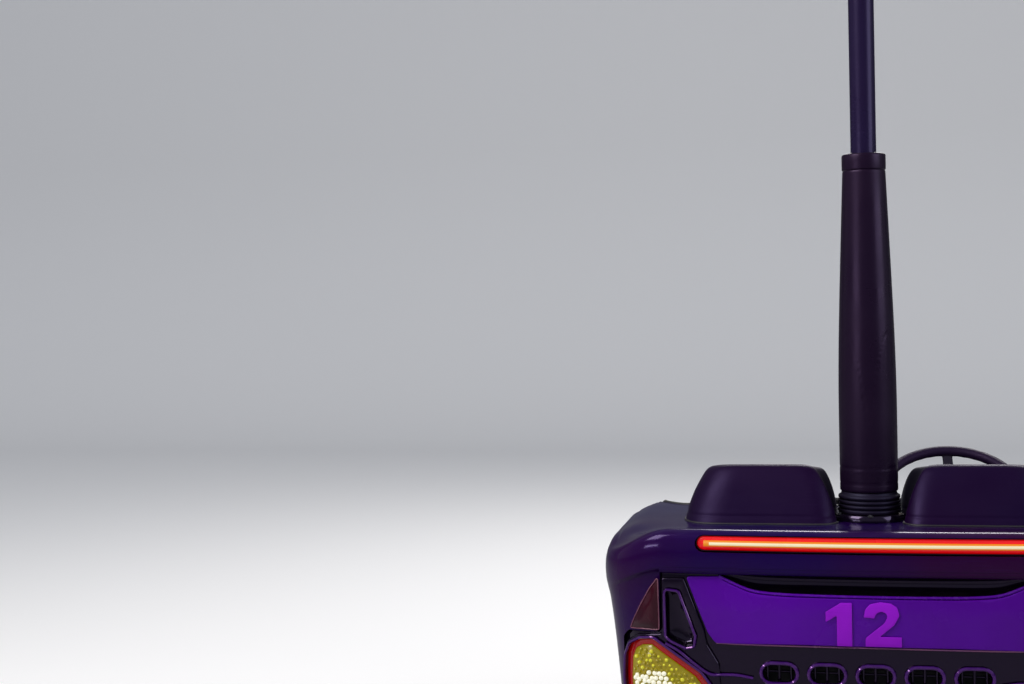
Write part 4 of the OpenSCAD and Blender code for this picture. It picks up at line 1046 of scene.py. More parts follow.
for side, name in sides:
    lampShape = mirrored(lampOutline, side)
    pocketShape = mirrored(pocketOutline, side)
    bag = Bag()
    plate(bag, mirrored(roundOutline(surroundLine, 0.01, 5), side), [grown(lampShape, 0.0006), pocketShape], 0.009,
          lambda x, z, w: onFace(x, z, w - 0.0047), edge=0.003, step=0.012, edgeSteps=4)
    # The rims round the pocket and the lamp carry the painted violet highlight.
    for line, radius, lift in ((pocketShape, 0.0026, -0.0092), (grown(lampShape, 0.0035), 0.0028, -0.0095)):
        bag.tube([onFace(p.x, p.y, lift) for p in line], radius, 8, closed=True, slot=1)
    makePiece("lampSurround_" + name, bag, [blackGloss, rimPaintedHighlight], 40, "lamp_surround_" + name)
    # A lip runs from the pocket along the lamp and on towards the openings; its violet colour is a painted highlight.
    lip = smoothLine([(0.384, 0.6385, 0), (0.36, 0.6255, 0), (0.333, 0.6035, 0), (0.304, 0.5835, 0),
                      (0.286, 0.5805, 0), (0.252, 0.5805, 0), (0.222, 0.576, 0)], 8)
    tubePiece("lampLip_" + name, [onFace(side * p.x, p.y, mix(-0.0008, -0.0093, ease(0.278, 0.296, p.x)))
                                  for p in lip], 0.003, rimPaintedHighlight)
    # The pocket's tray narrows to its floor
    bag = Bag()
    middle = sum(pocketShape, Vector((0, 0))) / len(pocketShape)
    bag.loft([[behindFace(*p.lerp(middle, shrink), depth) for p in pocketShape] for shrink, depth in
              ((0.0, -0.007), (0.02, 0.004), (0.06, 0.014), (0.14, 0.02), (0.3, 0.0225), (0.96, 0.0235))], capEnd=True)
    makePiece("pocketTray_" + name, bag, blackGloss, 60)
    # The lamp: a red rim, an amber face and its light-emitting dots
    bag = Bag()
    inner = insetShape(lampShape, lampPiece["rim"] * 0.9)
    plate(bag, grown(lampShape, -0.0004), [inner], 0.02, lambda x, z, w: onFace(x, z, w + 0.002), edge=0.004,
          step=0.012, edgeSteps=4)
    makePiece("lampRim_" + name, bag, lampRed, 50, "tail_lamp_" + name)
    bag = Bag()
    faceShape = insetShape(lampShape, lampPiece["rim"] * 0.82)

    def domeLift(x, z, outline=faceShape):
        return lampPiece["crown"] * (1 - (1 - clamp(edgeDistance((x, z), outline) / 0.035)) ** 2)

    plate(bag, faceShape, [], 0.004, lambda x, z, w: onFace(x, z, w + 0.001), edge=0.0012, step=0.006,
          lift=domeLift, edgeSteps=2)
    makePiece("lampFace_" + name, bag, lampAmber, 60)
    bag = Bag()
    plate(bag, grown(lampShape, 0.0012), [], 0.003, lambda x, z, w: onFace(x, z, w + 0.0235), edge=0.001, step=0.02)
    makePiece("lampHousing_" + name, bag, trimRubber, 40)
    dots = Bag()
    dice = random.Random(12)
    hot = Vector((side * lampPiece["hotX"], lampPiece["hotZ"]))
    pitch, jitter = lampPiece["pitch"], lampPiece["jitter"]
    for row, column in [(row, column) for row in range(24) for column in range(24)]:
        x = side * (0.285 + (column + (row % 2) / 2) * pitch) + dice.uniform(-jitter, jitter)
        z = 0.485 + row * pitch * 0.866 + dice.uniform(-jitter, jitter)
        size = dice.uniform(*lampPiece["dot"])
        glow = dice.random()
        if not inside((x, z), faceShape) or edgeDistance((x, z), faceShape) < lampPiece["margin"]:
            continue
        m = Matrix.Translation(onFace(x, z, -0.001 - domeLift(x, z)) + Vector((0, 0.0006, 0))) @ rotation(90, "X")
        # Hot dots lie round the lamp's heart; of the others, some are dull
        away = (Vector((x, z)) - hot).length
        kind = 1 if away < lampPiece["hotRadius"] + 0.016 * (glow - 0.5) else 2 if glow < 0.45 else 0
        size = lampPiece["hotSize"] if kind == 1 else size
        dots.lathe([(size, 0)] + [(size * math.cos(a), size * 0.85 * math.sin(a)) for a in
                                  [math.radians(v) for v in (20, 42, 62, 80)]], 10, m, kind)
    makePiece("lampDots_" + name, dots, [ledDot, ledHot, lampAmber], 60)
    # The fin stands on the corner beside the pocket
    bag = Bag()
    finShape = mirrored(roundOutline(finLine, 0.004, 4), side)
    plate(bag, finShape, [], 0.007, lambda x, z, w: Vector((x, rearY(x, z, w - 0.0015), z)), edge=0.0024, step=0.005,
          lift=lambda x, z, line=finShape: 0.007 * ease(0, 0.016, edgeDistance((x, z), line)), edgeSteps=4)
    # A light tube round the fin's edge is a painted highlight.
    bag.tube([(p.x, rearY(p.x, p.y, -0.0014), p.y) for p in finShape], 0.0013, 8, closed=True, slot=1)
    makePiece("fin_" + name, bag, [finGloss, finPaintedHighlight], 50, "fin_" + name)
print("rear lamps ready")

# Headrest humps: soft-edged shells, hollowed beside the mast
mast = {"y": -0.6, "deck": 0.838, "flange": 0.074, "foot": 0.894, "sleeveTop": 1.566, "topRadius": 0.043,
        "footRadius": 0.057, "shoe": 2.77}
hump = {"x0": 0.062, "x1": 0.366, "y0": -0.7, "y1": -0.445, "top": 0.951, "points": 116, "crest": -0.636,
        "fall": 0.16, "gap": 0.009, "soft": 0.008, "lineDepth": 0.0016, "lineAt": 0.13}
# Rows of the share of the height, the insets of the outer, inner, rear and front side, and the corners, in mm
humpRows = [(0, 0, 0, 0, 0, 46), (0.25, 7, 4, 14, 3, 45), (0.5, 17, 9, 28, 8, 44), (0.76, 31, 17, 43, 18, 43),
            (0.9, 40, 24, 53, 28, 42), (0.965, 48, 31, 61, 38, 40), (1, 63, 46, 76, 54, 34)]


def humpRing(row, count):
    share, outer, inner, rear, front, corner = row
    x0, x1 = hump["x0"] + inner / 1000, hump["x1"] - outer / 1000
    y0, y1 = hump["y0"] + rear / 1000, hump["y1"] - front / 1000
    r = corner / 1000
    small = min(r, 0.034)
    line = roundOutline([(x0, y0, small * 1.4), (x1, y0, r * 1.7), (x1, y1, r), (x0, y1, small)], r, 10)
    keep = mast["flange"] + hump["gap"] + inner / 1000
    soft = hump["soft"]
    # Even spacing round the ring, from its rear inner corner
    lengths = [0.0]
    for a, b in zip(line, line[1:] + line[:1]):
        lengths.append(lengths[-1] + (b - a).length)
    ring = []
    k = 0
    for at in span(0, lengths[-1], count)[:-1]:
        while lengths[k + 1] < at:
            k += 1
        t = (at - lengths[k]) / max(lengths[k + 1] - lengths[k], 1e-9)
        p = line[k % len(line)].lerp(line[(k + 1) % len(line)], t)
        reach = keep ** 2 - (p.y - mast["y"]) ** 2
        hollow = math.sqrt(reach) if reach > 0 else 0
        x = p.x if p.x - hollow > soft else hollow + soft * math.exp((p.x - hollow) / soft - 1)
        top = hump["top"] - hump["fall"] * max(0.0, p.y - hump["crest"])
        ring.append((max(x, p.x), p.y, mix(mast["deck"] + 0.0006, top, share)))
    return ring


humpLine = smoothLine([r[:3] for r in humpRows], 10)
humpLine2 = smoothLine([r[3:] for r in humpRows], 10)
for side, name in sides:
    bag = Bag()
    rings = [humpRing((clamp(a.x), a.y, a.z, *b), hump["points"]) for a, b in zip(humpLine, humpLine2)]
    # The crest rounds over from the last rings to the middle
    last = [Vector(p) for p in rings[-1]]
    centre = sum(last, Vector()) / len(last)
    for t in span(0, 0.985, 8)[1:]:
        rings.append([(mix(p.x, centre.x, t), mix(p.y, centre.y, t), mix(p.z, centre.z, t)) for p in last])
    # A shallow moulded line round the shell
    for i, ring in enumerate(rings[:len(humpLine)]):
        dip = hump["lineDepth"] * math.exp(-((clamp(humpLine[i].x) - hump["lineAt"]) / 0.02) ** 2)
        if dip > 1e-5:
            mid = sum((Vector(p) for p in ring), Vector()) / len(ring)
            rings[i] = [tuple(Vector(p) - (Vector(p) - mid).normalized() * dip) for p in ring]
    bag.loft([[(side * p[0], p[1], p[2]) for p in ring] for ring in rings], capEnd=True)
    makePiece("hump_" + name, bag, humpPlastic, 180, "headrest_" + name, subdivide=1)
    foot = humpRing(humpRows[0], hump["points"])
    tubePiece("humpGasket_" + name, [(side * p[0], p[1], mast["deck"] + 0.0006) for p in foot], 0.0022, trimRubber,
              closed=True)
print("humps ready")

# Mast: flange, bellows, sleeve with its collar and seams, spring and pin hardware at the shoe
centreY = Matrix.Translation((0, mast["y"], 0))
bag = Bag()
bag.lathe([(0.032, 0.8385), (0.0735, 0.8385), (0.074, 0.84), (0.0735, 0.8455), (0.0705, 0.8505), (0.066, 0.8515),
           (0.032, 0.8515)], 72, centreY, closed=True)
for a in turns(6):
    bag.bolt(centreY @ Vector(around(0.0675, a + math.pi / 6, 0.8502)), (0, 0, 1), 0.0042, 0.0034, slot=1)
makePiece("mastFlange", bag, [blackGloss, darkSteel], 35, "mast_flange")

bellows = {"rings": (0.8565, 0.8655, 0.8745, 0.8835), "radius": 0.0608, "narrower": 0.0003, "blendLow": 0.853,
           "blendHigh": 0.886}
bag = Bag()
profile = [(0.046, 0.8518), (0.0585, 0.8518), (0.0605, 0.8528)]
for i, z in enumerate(bellows["rings"]):
    r = bellows["radius"] - bellows["narrower"] * i
    profile += [(r, z - 0.003), (r + 0.0006, z - 0.001), (r + 0.0006, z + 0.001), (r, z + 0.0026)]
    if z != bellows["rings"][-1]:
        profile += [(r - 0.0042, z + 0.0038), (r - 0.0055, z + 0.0045), (r - 0.0042, z + 0.0054)]
profile += [(0.0565, 0.888), (0.0545, 0.8905), (0.054, 0.8938), (0.046, 0.8938)]
bag.lathe(profile, 96, centreY, closed=True)
boot = makePiece("mastBoot", bag, bootRubber, 180, "mast_boot")
boot.parent = None
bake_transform(boot)

sleeve = {"rows": [(0.0, 1.0), (0.28, 1.0), (0.42, 0.9), (0.56, 0.71), (0.77, 0.36), (0.95, 0.05)], "segments": 120,
          "steps": 180, "collar": 0.032, "arch": (1.0, 1.21), "seams": (0.912, 0.942), "groove": 0.0011,
          "bore": 0.0262}
bag = Bag()
rows = [(p.x, p.y) for p in smoothLine([(s, w, 0) for s, w in sleeve["rows"]], 12)]
rings = []
tall = mast["sleeveTop"] - mast["foot"]
for r, dz in ((sleeve["bore"], 0.0), (0.0525, 0.0), (0.0555, 0.0012)):
    rings.append([(r, mast["foot"] + dz)] * sleeve["segments"])
low, high = sleeve["arch"]
for z in span(mast["foot"] + 0.003, mast["foot"] + tall - sleeve["collar"] - 0.003, sleeve["steps"]):
    share = (z - mast["foot"]) / tall
    wide = lookup(share, rows) if share < 0.95 else mix(0.05, 0, (share - 0.95) / 0.05)
    r0 = mix(mast["topRadius"] - 0.0015, mast["footRadius"], wide) - 0.0003
    r0 -= sleeve["groove"] * sum(math.exp(-((z - seam) / 0.0013) ** 2) for seam in sleeve["seams"])
    ring = []
    for k in range(sleeve["segments"]):
        s = abs((k / sleeve["segments"] * 4) % 1 - 0.5) * 2
        archZ = low + (high - low) * (1 - s ** 1.7) ** 0.8
        slope = 0.0016 + 0.004 * s ** 3
        ring.append((r0 - 0.0007 * math.exp(-((z - archZ) / slope) ** 2), z))
    rings.append(ring)
for r, down in ((0.0412, 0.0335), (0.0408, 0.0328), (0.0412, 0.0322), (0.0426, 0.0312), (0.0429, 0.0295),
                (0.043, 0.016), (0.0429, 0.0035), (0.0421, 0.0012), (0.04, 0), (0.0285, 0), (sleeve["bore"], 0.002),
                (sleeve["bore"], 0.03)):
    rings.append([(r, mast["sleeveTop"] - down)] * sleeve["segments"])
bag.loft([[around(r, a, z) for a, (r, z) in zip(turns(sleeve["segments"]), ring)] for ring in rings], matrix=centreY)
makePiece("mastSleeve", bag, mastSatin, 42, "mast_sleeve", body="mast")

bag = Bag()
spring = {"coils": 7, "start": 0.0175, "length": 0.0105, "radius": 0.0085, "wire": 0.0007}
for side, name in sides:
    line = []
    for t in span(0, 1, 16 * spring["coils"]):
        a = 2 * math.pi * spring["coils"] * t
        line.append((side * (spring["start"] + spring["length"] * t), mast["y"] + spring["radius"] * math.cos(a),
                     mast["shoe"] + spring["radius"] * math.sin(a)))
    bag.tube(line, spring["wire"], 6)
bag.lathe([(0.0252, 2.665), (0.0272, 2.667), (0.0272, 2.683), (0.0252, 2.685)], 48, centreY, closed=True)
bag.bolt((0, mast["y"] - 0.0268, 2.675), (0, -1, 0), 0.004, 0.003)
makePiece("shoeSpring", bag, darkSteel, 50, body="mast")
print("mast ready")


# Bumper: rubber round the whole car in a steel channel; a path goes round the car, inside its outline by the inset
def wholePath(rear, front, w, sideSteps, inset=0.0):
    half = rear + sideLine(w, rear[-1][1], front[-1][1], sideSteps)[:-1] + front[::-1]
    whole = half + flipX(half)[::-1][1:-1]
    return [(x - inset * nx, y - inset * ny, nx, ny) for x, y, nx, ny in whole]


rubber = {"halfWidth": 0.58, "reach": 0.975, "bow": 2.6, "rearCorner": 0.23, "frontCorner": 0.34, "depth": 0.075,
          "low": 0.16, "height": 0.2, "groove": 0.0035, "grooveAt": (0.31, 0.5, 0.69), "grooveWidth": 0.022,
          "joint": 0.002}
bolts = {"inset": 0.0898, "spacing": 0.19, "top": 0.352, "bottom": 0.168, "radius": 0.006, "height": 0.0045}


def bumperPath(inset=0.0, endSteps=26, sideSteps=20):
    rear, front = [halfEnd(rubber["halfWidth"], rubber["reach"], rubber[corner], rubber["bow"], endSteps, endSteps)
                   for corner in ("rearCorner", "frontCorner")]
    return wholePath(flipY(rear), front, rubber["halfWidth"], sideSteps, inset)


tubeSection = smoothLine([(d, 0, s) for d, s in
                          ((1, 0.04), (0.62, 0.012), (0.3, 0), (0.08, 0.12), (0, 0.32), (0, 0.5), (0, 0.68),
                           (0.08, 0.88), (0.3, 1), (0.62, 0.988), (1, 0.96))], 8)
bag = Bag()
rings = []
for x, y, nx, ny in bumperPath():
    ring = []
    for p in tubeSection:
        d, s = max(0, p.x), clamp(p.z)
        d = d * rubber["depth"] + math.exp(-(x / 0.0022) ** 2) * rubber["joint"]
        d += sum(math.exp(-((s - c) / rubber["grooveWidth"]) ** 2) for c in rubber["grooveAt"]) * rubber["groove"]
        ring.append((x - d * nx, y - d * ny, rubber["low"] + s * rubber["height"]))
    rings.append(ring)
bag.loft(rings, closedPath=True)
makePiece("bumperRubber", bag, bumperRubber, 45, "bumper_tube")

bag = Bag()
ringPath = bumperPath(bolts["inset"], 10, 16)
gone = 0.0
last = Vector(ringPath[-1][:2])
for x, y, nx, ny in ringPath:
    gone += (Vector((x, y)) - last).length
    last = Vector((x, y))
    if gone > bolts["spacing"]:
        gone = 0.0
        for z, d in ((bolts["top"], 1), (bolts["bottom"], -1)):
            bag.bolt((x, y, z), (0, 0, d), bolts["radius"], bolts["height"])
makePiece("channelBolts", bag, darkSteel, 35)

rails = {"x": (-0.285, 0.285), "y": (-0.72, -0.385, 0.09, 0.4), "top": 0.1998, "bottom": 0.15}
bag = Bag()
for x, y in [(x, y) for x in rails["x"] for y in rails["y"]]:
    bag.bolt((x - 0.014, y + 0.012, rails["top"]), (0, 0, 1), 0.0062, bolts["height"])
    bag.bolt((x + 0.014, y - 0.012, rails["bottom"]), (0, 0, -1), 0.0062, bolts["height"])
makePiece("frameBolts", bag, darkSteel, 35)
print("bumper ready")

# Trim round the cockpit's edge and along the shell's foot
sideYs = span(shell["rearJoint"], shell["frontJoint"], 14)[1:-1]
sideEdge = [(opening["halfWidth"], y) for y in sideYs]
loop = [s[:2] for s in rearStations[1]] + sideEdge + [s[:2] for s in frontStations[1][::-1]]
loop += [(-x, y) for x, y in sideEdge[::-1]]
tubePiece("cockpitTrim", [(x, y, deckAt(x, y) - 0.0035) for x, y in loop], 0.0066, trimRubber, 80, 12,
          True)

# The opening's edge is turned down, which closes the view into the hollow body
flange = {"out": 0.0012, "thick": 0.003, "rear": 0.031, "side": 0.03, "front": 0.043}
bag = Bag()
rings = []
for (x0, y0), (x, y), (x1, y1) in zip(loop[-1:] + loop, loop, loop[1:] + loop[:1]):
    along = Vector((x1 - x0, y1 - y0, 0)).normalized()
    out = Vector((along.y, -along.x, 0))
    if out.dot(Vector((x, y, 0))) < 0:
        out = -out
    deep = mix(mix(flange["rear"], flange["side"], ease(-0.42, -0.33, y)), flange["front"], ease(0.3, 0.4, y))
    base = Vector((x, y, deckAt(x, y)))
    near, far = flange["out"], flange["out"] + flange["thick"]
    rings.append([base + out * d + Vector((0, 0, z)) for d, z in
                  ((near, -0.003), (near, -deep + 0.002), (near + 0.0008, -deep), (far - 0.0008, -deep),
                   (far, -deep + 0.002), (far, -0.003))])
bag.loft(rings, closedPath=True)
makePiece("openingFlange", bag, tubPlastic, 40)

footRim = {"inset": 0.0335, "z": 0.3585, "radius": 0.0052}
ends = [[(x - footRim["inset"] * nx, y - footRim["inset"] * ny, footRim["z"]) for x, y, nx, ny in stations[0]]
        for stations in (rearStations, frontStations)]
sideFoot = [(shell["halfWidth"] - footRim["inset"], y, footRim["z"]) for y in sideYs]
tubePiece("footTrim", ends[0] + sideFoot + ends[1][::-1] + [(-x, y, z) for x, y, z in sideFoot[::-1]],
          footRim["radius"], brightSteel, 80, 10, True)
print("trims ready")

# Nose: bars behind the opening, a strip light and round headlamps


def noseY(x, z, depth=0.0):
    d = lookup(z, wallRows(shell["nose"])) + depth
    return shell["front"] - shell["frontBow"] + math.sqrt((shell["frontBow"] - d) ** 2 - x * x)


nose = {"bars": 5, "low": 0.388, "pitch": 0.0165, "halfWidth": 0.205, "narrower": 0.001,
        "uprights": (-0.14, -0.07, 0, 0.07, 0.14)}
bag = Bag()
blade = [(0.0, 0.0), (0.004, 0.0035), (0.012, 0.0032), (0.016, 0.0), (0.012, -0.0032), (0.004, -0.0035)]
for i in range(nose["bars"]):
    z = nose["low"] + nose["pitch"] * i
    wide = nose["halfWidth"] - nose["narrower"] * i
    bag.loft([[(x, noseY(x, z, 0.022) - d, z + h) for d, h in blade] for x in span(-wide, wide, 40)], capStart=True,
             capEnd=True)
for x in nose["uprights"]:
    bag.tube([(x, noseY(x, z, 0.035), z) for z in span(0.374, 0.458, 8)], 0.003, 8)
bag.loft([[(x, noseY(x, z, 0.0395), z) for x in span(-0.213, 0.213, 30)] for z in span(0.366, 0.468, 8)],
         closedRing=False, slot=1)
makePiece("noseGrille", bag, [blackGloss, trimRubber], 45, "nose_grille")
tubePiece("noseRim", [(p.x, noseY(p.x, p.y, -0.0008), p.y) for p in noseHole], 0.0042, blackGloss,
          closed=True)
bag = Bag()
plate(bag, stadiumOutline(0.336, 0.009, 0, 0.4605), [], 0.006, lambda x, z, w: Vector((x, noseY(x, z, 0.014 + w), z)),
      edge=0.0025, edgeSteps=3)
makePiece("noseStrip", bag, ledCore, 60)

for side, name in sides:
    m = headlampMatrix(side)
    bag = Bag()
    bag.lathe([(0.0575, -0.012), (0.0597, -0.01), (0.0597, 0.0105), (0.0588, 0.0135), (0.0565, 0.0145),
               (0.0545, 0.013), (0.0535, 0.009), (0.0535, 0.0), (0.0545, -0.01)], 64, m, 0, closed=True)
    bowl = [(mix(0.0525, 0.006, t), -0.034 * (1 - (1 - t) ** 2) + 0.001) for t in span(0, 1, 13)]
    bag.lathe([(0.0535, 0.002)] + bowl + [(0.0005, -0.0335)], 64, m, 1)
    makePiece("headlampBowl_" + name, bag, [blackGloss, chrome], 60)
    bag = Bag()
    bag.lathe([(0.0062, -0.033), (0.0075, -0.026), (0.0075, -0.018), (0.006, -0.013), (0.0028, -0.0105),
               (0.0003, -0.0102)], 24, m)
    makePiece("headlampBulb_" + name, bag, ledCore, 60)
    bag = Bag()
    dome = [(0.0535 * math.cos(math.radians(a)), 0.0085 + 0.0155 * math.sin(math.radians(a))) for a in
            (0, 8, 18, 30, 42, 54, 66, 78, 88)]
    under = [(max(r - 0.002, 0.0003), z - 0.002) for r, z in dome[::-1]]
    bag.lathe(dome + under, 64, m)
    makePiece("headlampLens_" + name, bag, clearLens, 60, "headlamp_" + name)
print("nose ready")

# Cockpit: tub with rounded floor edges, ribbed mat, dashboard, pedal


tub = {"halfWidth": 0.432, "rear": 0.422, "rearCorner": 0.08, "front": 0.5, "frontCorner": 0.024, "floor": 0.2005,
       "thickness": 0.005, "cove": 0.017, "toeTop": 0.588}


def tubPath():
    rear = halfEnd(tub["halfWidth"], tub["rear"], tub["rearCorner"], shell["rearBow"], 16, 16)
    front = halfEnd(tub["halfWidth"], tub["front"], tub["frontCorner"], opening["frontBow"], 16, 12)
    return wholePath(flipY(rear), front, tub["halfWidth"], 60)


def tubTop(x, y):
    side = deckAt(math.copysign(opening["halfWidth"], x), y) - 0.0125
    return mix(side, tub["toeTop"], ease(0.372, 0.386, y))


bag = Bag()
sections = []
for x, y, nx, ny in tubPath():
    top = tubTop(x, y)
    line = []
    for a in span(0, math.pi / 2, 6):
        d = tub["thickness"] + tub["cove"] * (1 - math.sin(a))
        line.append((d, tub["floor"] + tub["thickness"] + tub["cove"] * (1 - math.cos(a))))
    line += [(tub["thickness"], z) for z in span(line[6][1], top - 0.001, 8)[1:]]
    line += [(0.004, top), (0.001, top), (0.0, top - 0.001), (0.0, tub["floor"] + 0.003), (0.003, tub["floor"])]
    sections.append([(x - d * nx, y - d * ny, z) for d, z in line])
bag.loft(sections, closedRing=False, closedPath=True)
for end in (0, -1):
    bag.add([s[end] for s in sections], [tuple(range(len(sections)))])
makePiece("cockpitTub", bag, tubPlastic, 40, "cockpit_tub", merge=1e-5)

bag = Bag()
mat = {"ribs": 44, "pitch": 0.0098, "firstRib": 0.05, "low": 0.2088, "rib": 0.0014, "halfWidth": 0.398}
profile = [(0.044, 0.2058), (0.0445, 0.2084)]
for i in range(mat["ribs"]):
    y = mat["firstRib"] + mat["pitch"] * i
    profile += [(y, mat["low"]), (y + 0.0014, mat["low"] + mat["rib"]), (y + 0.0042, mat["low"] + mat["rib"]),
                (y + 0.0056, mat["low"])]
profile += [(0.4815, 0.2084), (0.482, 0.2058)]
# The ribs end before the mat's sides
wide = mat["halfWidth"]
rings = [[(x, y, z if abs(x) < wide - 0.004 else min(z, mat["low"])) for y, z in profile] for x in
         (-wide, -wide + 0.003, -wide + 0.006, 0, wide - 0.006, wide - 0.003, wide)]
bag.loft(rings, capStart=True, capEnd=True)
makePiece("floorMat", bag, trimRubber, 30)

dash = {"halfWidth": 0.4265, "y": 0.42}
roll = {"halfWidth": 0.4235, "radius": 0.0165, "round": 0.014}
profile = roundOutline([(-0.034, 0.5745, 0.006), (0.03, 0.5745, 0.006), (0.034, 0.614, 0.01), (0.034, 0.6845, 0.006),
                        (0.004, 0.6965, 0.008), (-0.016, 0.6965, 0.016), (-0.036, 0.681, 0.014), (-0.044, 0.651, 0.02),
                        (-0.044, 0.586, 0.01)], 0.01, 5)
bag = Bag()
middle = Vector((-0.004, 0.635))
rings = []
for x in span(-dash["halfWidth"], dash["halfWidth"], 48):
    edge = clamp((dash["halfWidth"] - abs(x)) / 0.006)
    shrink = 0.05 * (1 - math.sqrt(1 - (1 - edge) ** 2))
    rings.append([(x, dash["y"] + mix(p.x, middle.x, shrink), mix(p.y, middle.y, shrink)) for p in profile])
bag.loft(rings, capStart=True, capEnd=True)
for x in (-0.39, -0.13, 0.13, 0.39):
    bag.rivet((x, dash["y"] - 0.0425, 0.60), (0, -1, 0.02), 0.005, slot=1)
makePiece("dashboard", bag, [tubPlastic, darkSteel], 40, "dashboard")
bag = Bag()
rings = []
for x in span(-roll["halfWidth"], roll["halfWidth"], 60):
    end = clamp((roll["halfWidth"] - abs(x)) / roll["round"])
    r = max(roll["radius"] * math.sqrt(1 - (1 - end) ** 2), 0.0004)
    rings.append([(x, dash["y"] - 0.0365 + r * math.cos(t) * 0.9, 0.6755 + r * math.sin(t)) for t in turns(24)])
bag.loft(rings, capStart=True, capEnd=True)
makePiece("dashRoll", bag, wheelGrip, 80)

bag = Bag()
low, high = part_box("pedal")
half = (high[0] - low[0]) / 2
m = Matrix.Translation(((low[0] + high[0]) / 2, 0, 0))
y0 = low[1]
pedalLine = [(0, 0), (0.07, 0), (0.096, 0.062), (0.088, 0.066), (0.06, 0.012), (0, 0.006)]
outline = roundOutline([(y0 + y, low[2] + z, 0.003) for y, z in pedalLine], 0.003, 3)
centre = sum(outline, Vector((0, 0))) / len(outline)
rings = [[(x, mix(p.x, centre.x, s), mix(p.y, centre.y, s)) for p in outline] for x, s in
         ((-half, 0.0144), (-half + 0.0012, 0.0), (half - 0.0012, 0.0), (half, 0.0144))]
bag.loft(rings, capStart=True, capEnd=True, matrix=m)
for t in span(0.12, 0.88, 4):
    place = Matrix.Translation((0, mix(y0 + 0.061, y0 + 0.0875, t), low[2] + mix(0.0145, 0.0645, t)))
    bag.block((-half + 0.008, -0.0018, -0.0004), (half - 0.008, 0.0018, 0.002), 0.0008, m @ place @ rotation(63, "X"),
              slot=1)
makePiece("pedal", bag, [treadPlate, trimRubber], 35, "pedal")
print("cockpit ready")

# Steering wheel and column boot
steer = {"place": (0.22, 0.2, 0.785), "lean": 33, "radius": 0.1665, "rim": 0.0133, "notches": 36,
         "notch": 0.0007, "spokes": (-30, 90, 210)}
steerMatrix = Matrix.Translation(steer["place"]) @ rotation(steer["lean"], "X")
bag = Bag()
rings = []
for a in turns(192):
    ring = []
    for t in turns(24):
        under = clamp(-math.sin(t) * 0.8 + 0.2)
        r = steer["rim"] - steer["notch"] * (0.5 + 0.5 * math.cos(a * steer["notches"])) * under
        ring.append(around(steer["radius"] + r * math.cos(t), a, r * math.sin(t)))
    rings.append(ring)
bag.loft(rings, closedPath=True, matrix=steerMatrix)
makePiece("steeringRim", bag, wheelGrip, 80, "steering_wheel", body="steering")
bag = Bag()
for angle in steer["spokes"]:
    turn = steerMatrix @ rotation(angle, "Z")
    rings = []
    for t in span(0, 1, 14):
        x = mix(0.034, steer["radius"] - 0.004, t)
        w = mix(0.0165, 0.0125, ease(0, 0.6, t)) + 0.004 * ease(0.85, 1, t)
        z = mix(-0.0085, -0.0035, ease(0.1, 0.9, t))
        thick = mix(0.0042, 0.0034, t)
        rings.append([(x, w * math.copysign(abs(math.cos(a)) ** 0.55, math.cos(a)),
                       z + thick * math.copysign(abs(math.sin(a)) ** 0.7, math.sin(a))) for a in turns(20)])
    bag.loft(rings, capStart=True, capEnd=True, matrix=turn)
bag.lathe([(0.0135, -0.0155), (0.041, -0.0155), (0.0445, -0.012), (0.045, -0.002), (0.0435, 0.0045), (0.0385, 0.0085),
           (0.0335, 0.009), (0.0325, 0.0072), (0.0315, 0.009), (0.025, 0.0098), (0.0004, 0.0102)], 64, steerMatrix, 0)
makePiece("steeringHub", bag, blackGloss, 40, body="steering")
bag = Bag()
for a in turns(3):
    bag.rivet(steerMatrix @ Vector(around(0.0385, a + math.pi / 6, 0.0084)),
              steerMatrix.to_3x3() @ Vector((0, 0, 1)), 0.0028)
makePiece("hubScrews", bag, brightSteel, 60, body="steering")
bag = Bag()
profile = [(0.0128, -0.096)]
for k in range(6):
    z = -0.0955 - 0.0048 * k
    r = 0.0175 + 0.0019 * k
    profile += [(r, z), (r + 0.0012, z - 0.001), (r + 0.0012, z - 0.0022), (r, z - 0.0034)]
profile += [(0.0285, -0.126), (0.0285, -0.134), (0.0272, -0.134)]
bag.lathe(profile, 48, steerMatrix)
makePiece("columnBoot", bag, bootRubber, 45)
print("steering ready")

# Wheels, motor and chassis


rearWheel = {"radius": 0.1, "width": 0.056, "bore": 0.01515, "hub": 0.028, "x": 0.385, "y": -0.52}
driveWheel = {"radius": 0.115, "width": 0.07, "bore": 0.01215, "hub": 0.038, "y": 0.69}
slewRing = {"radius": 0.132, "z": 0.3047}


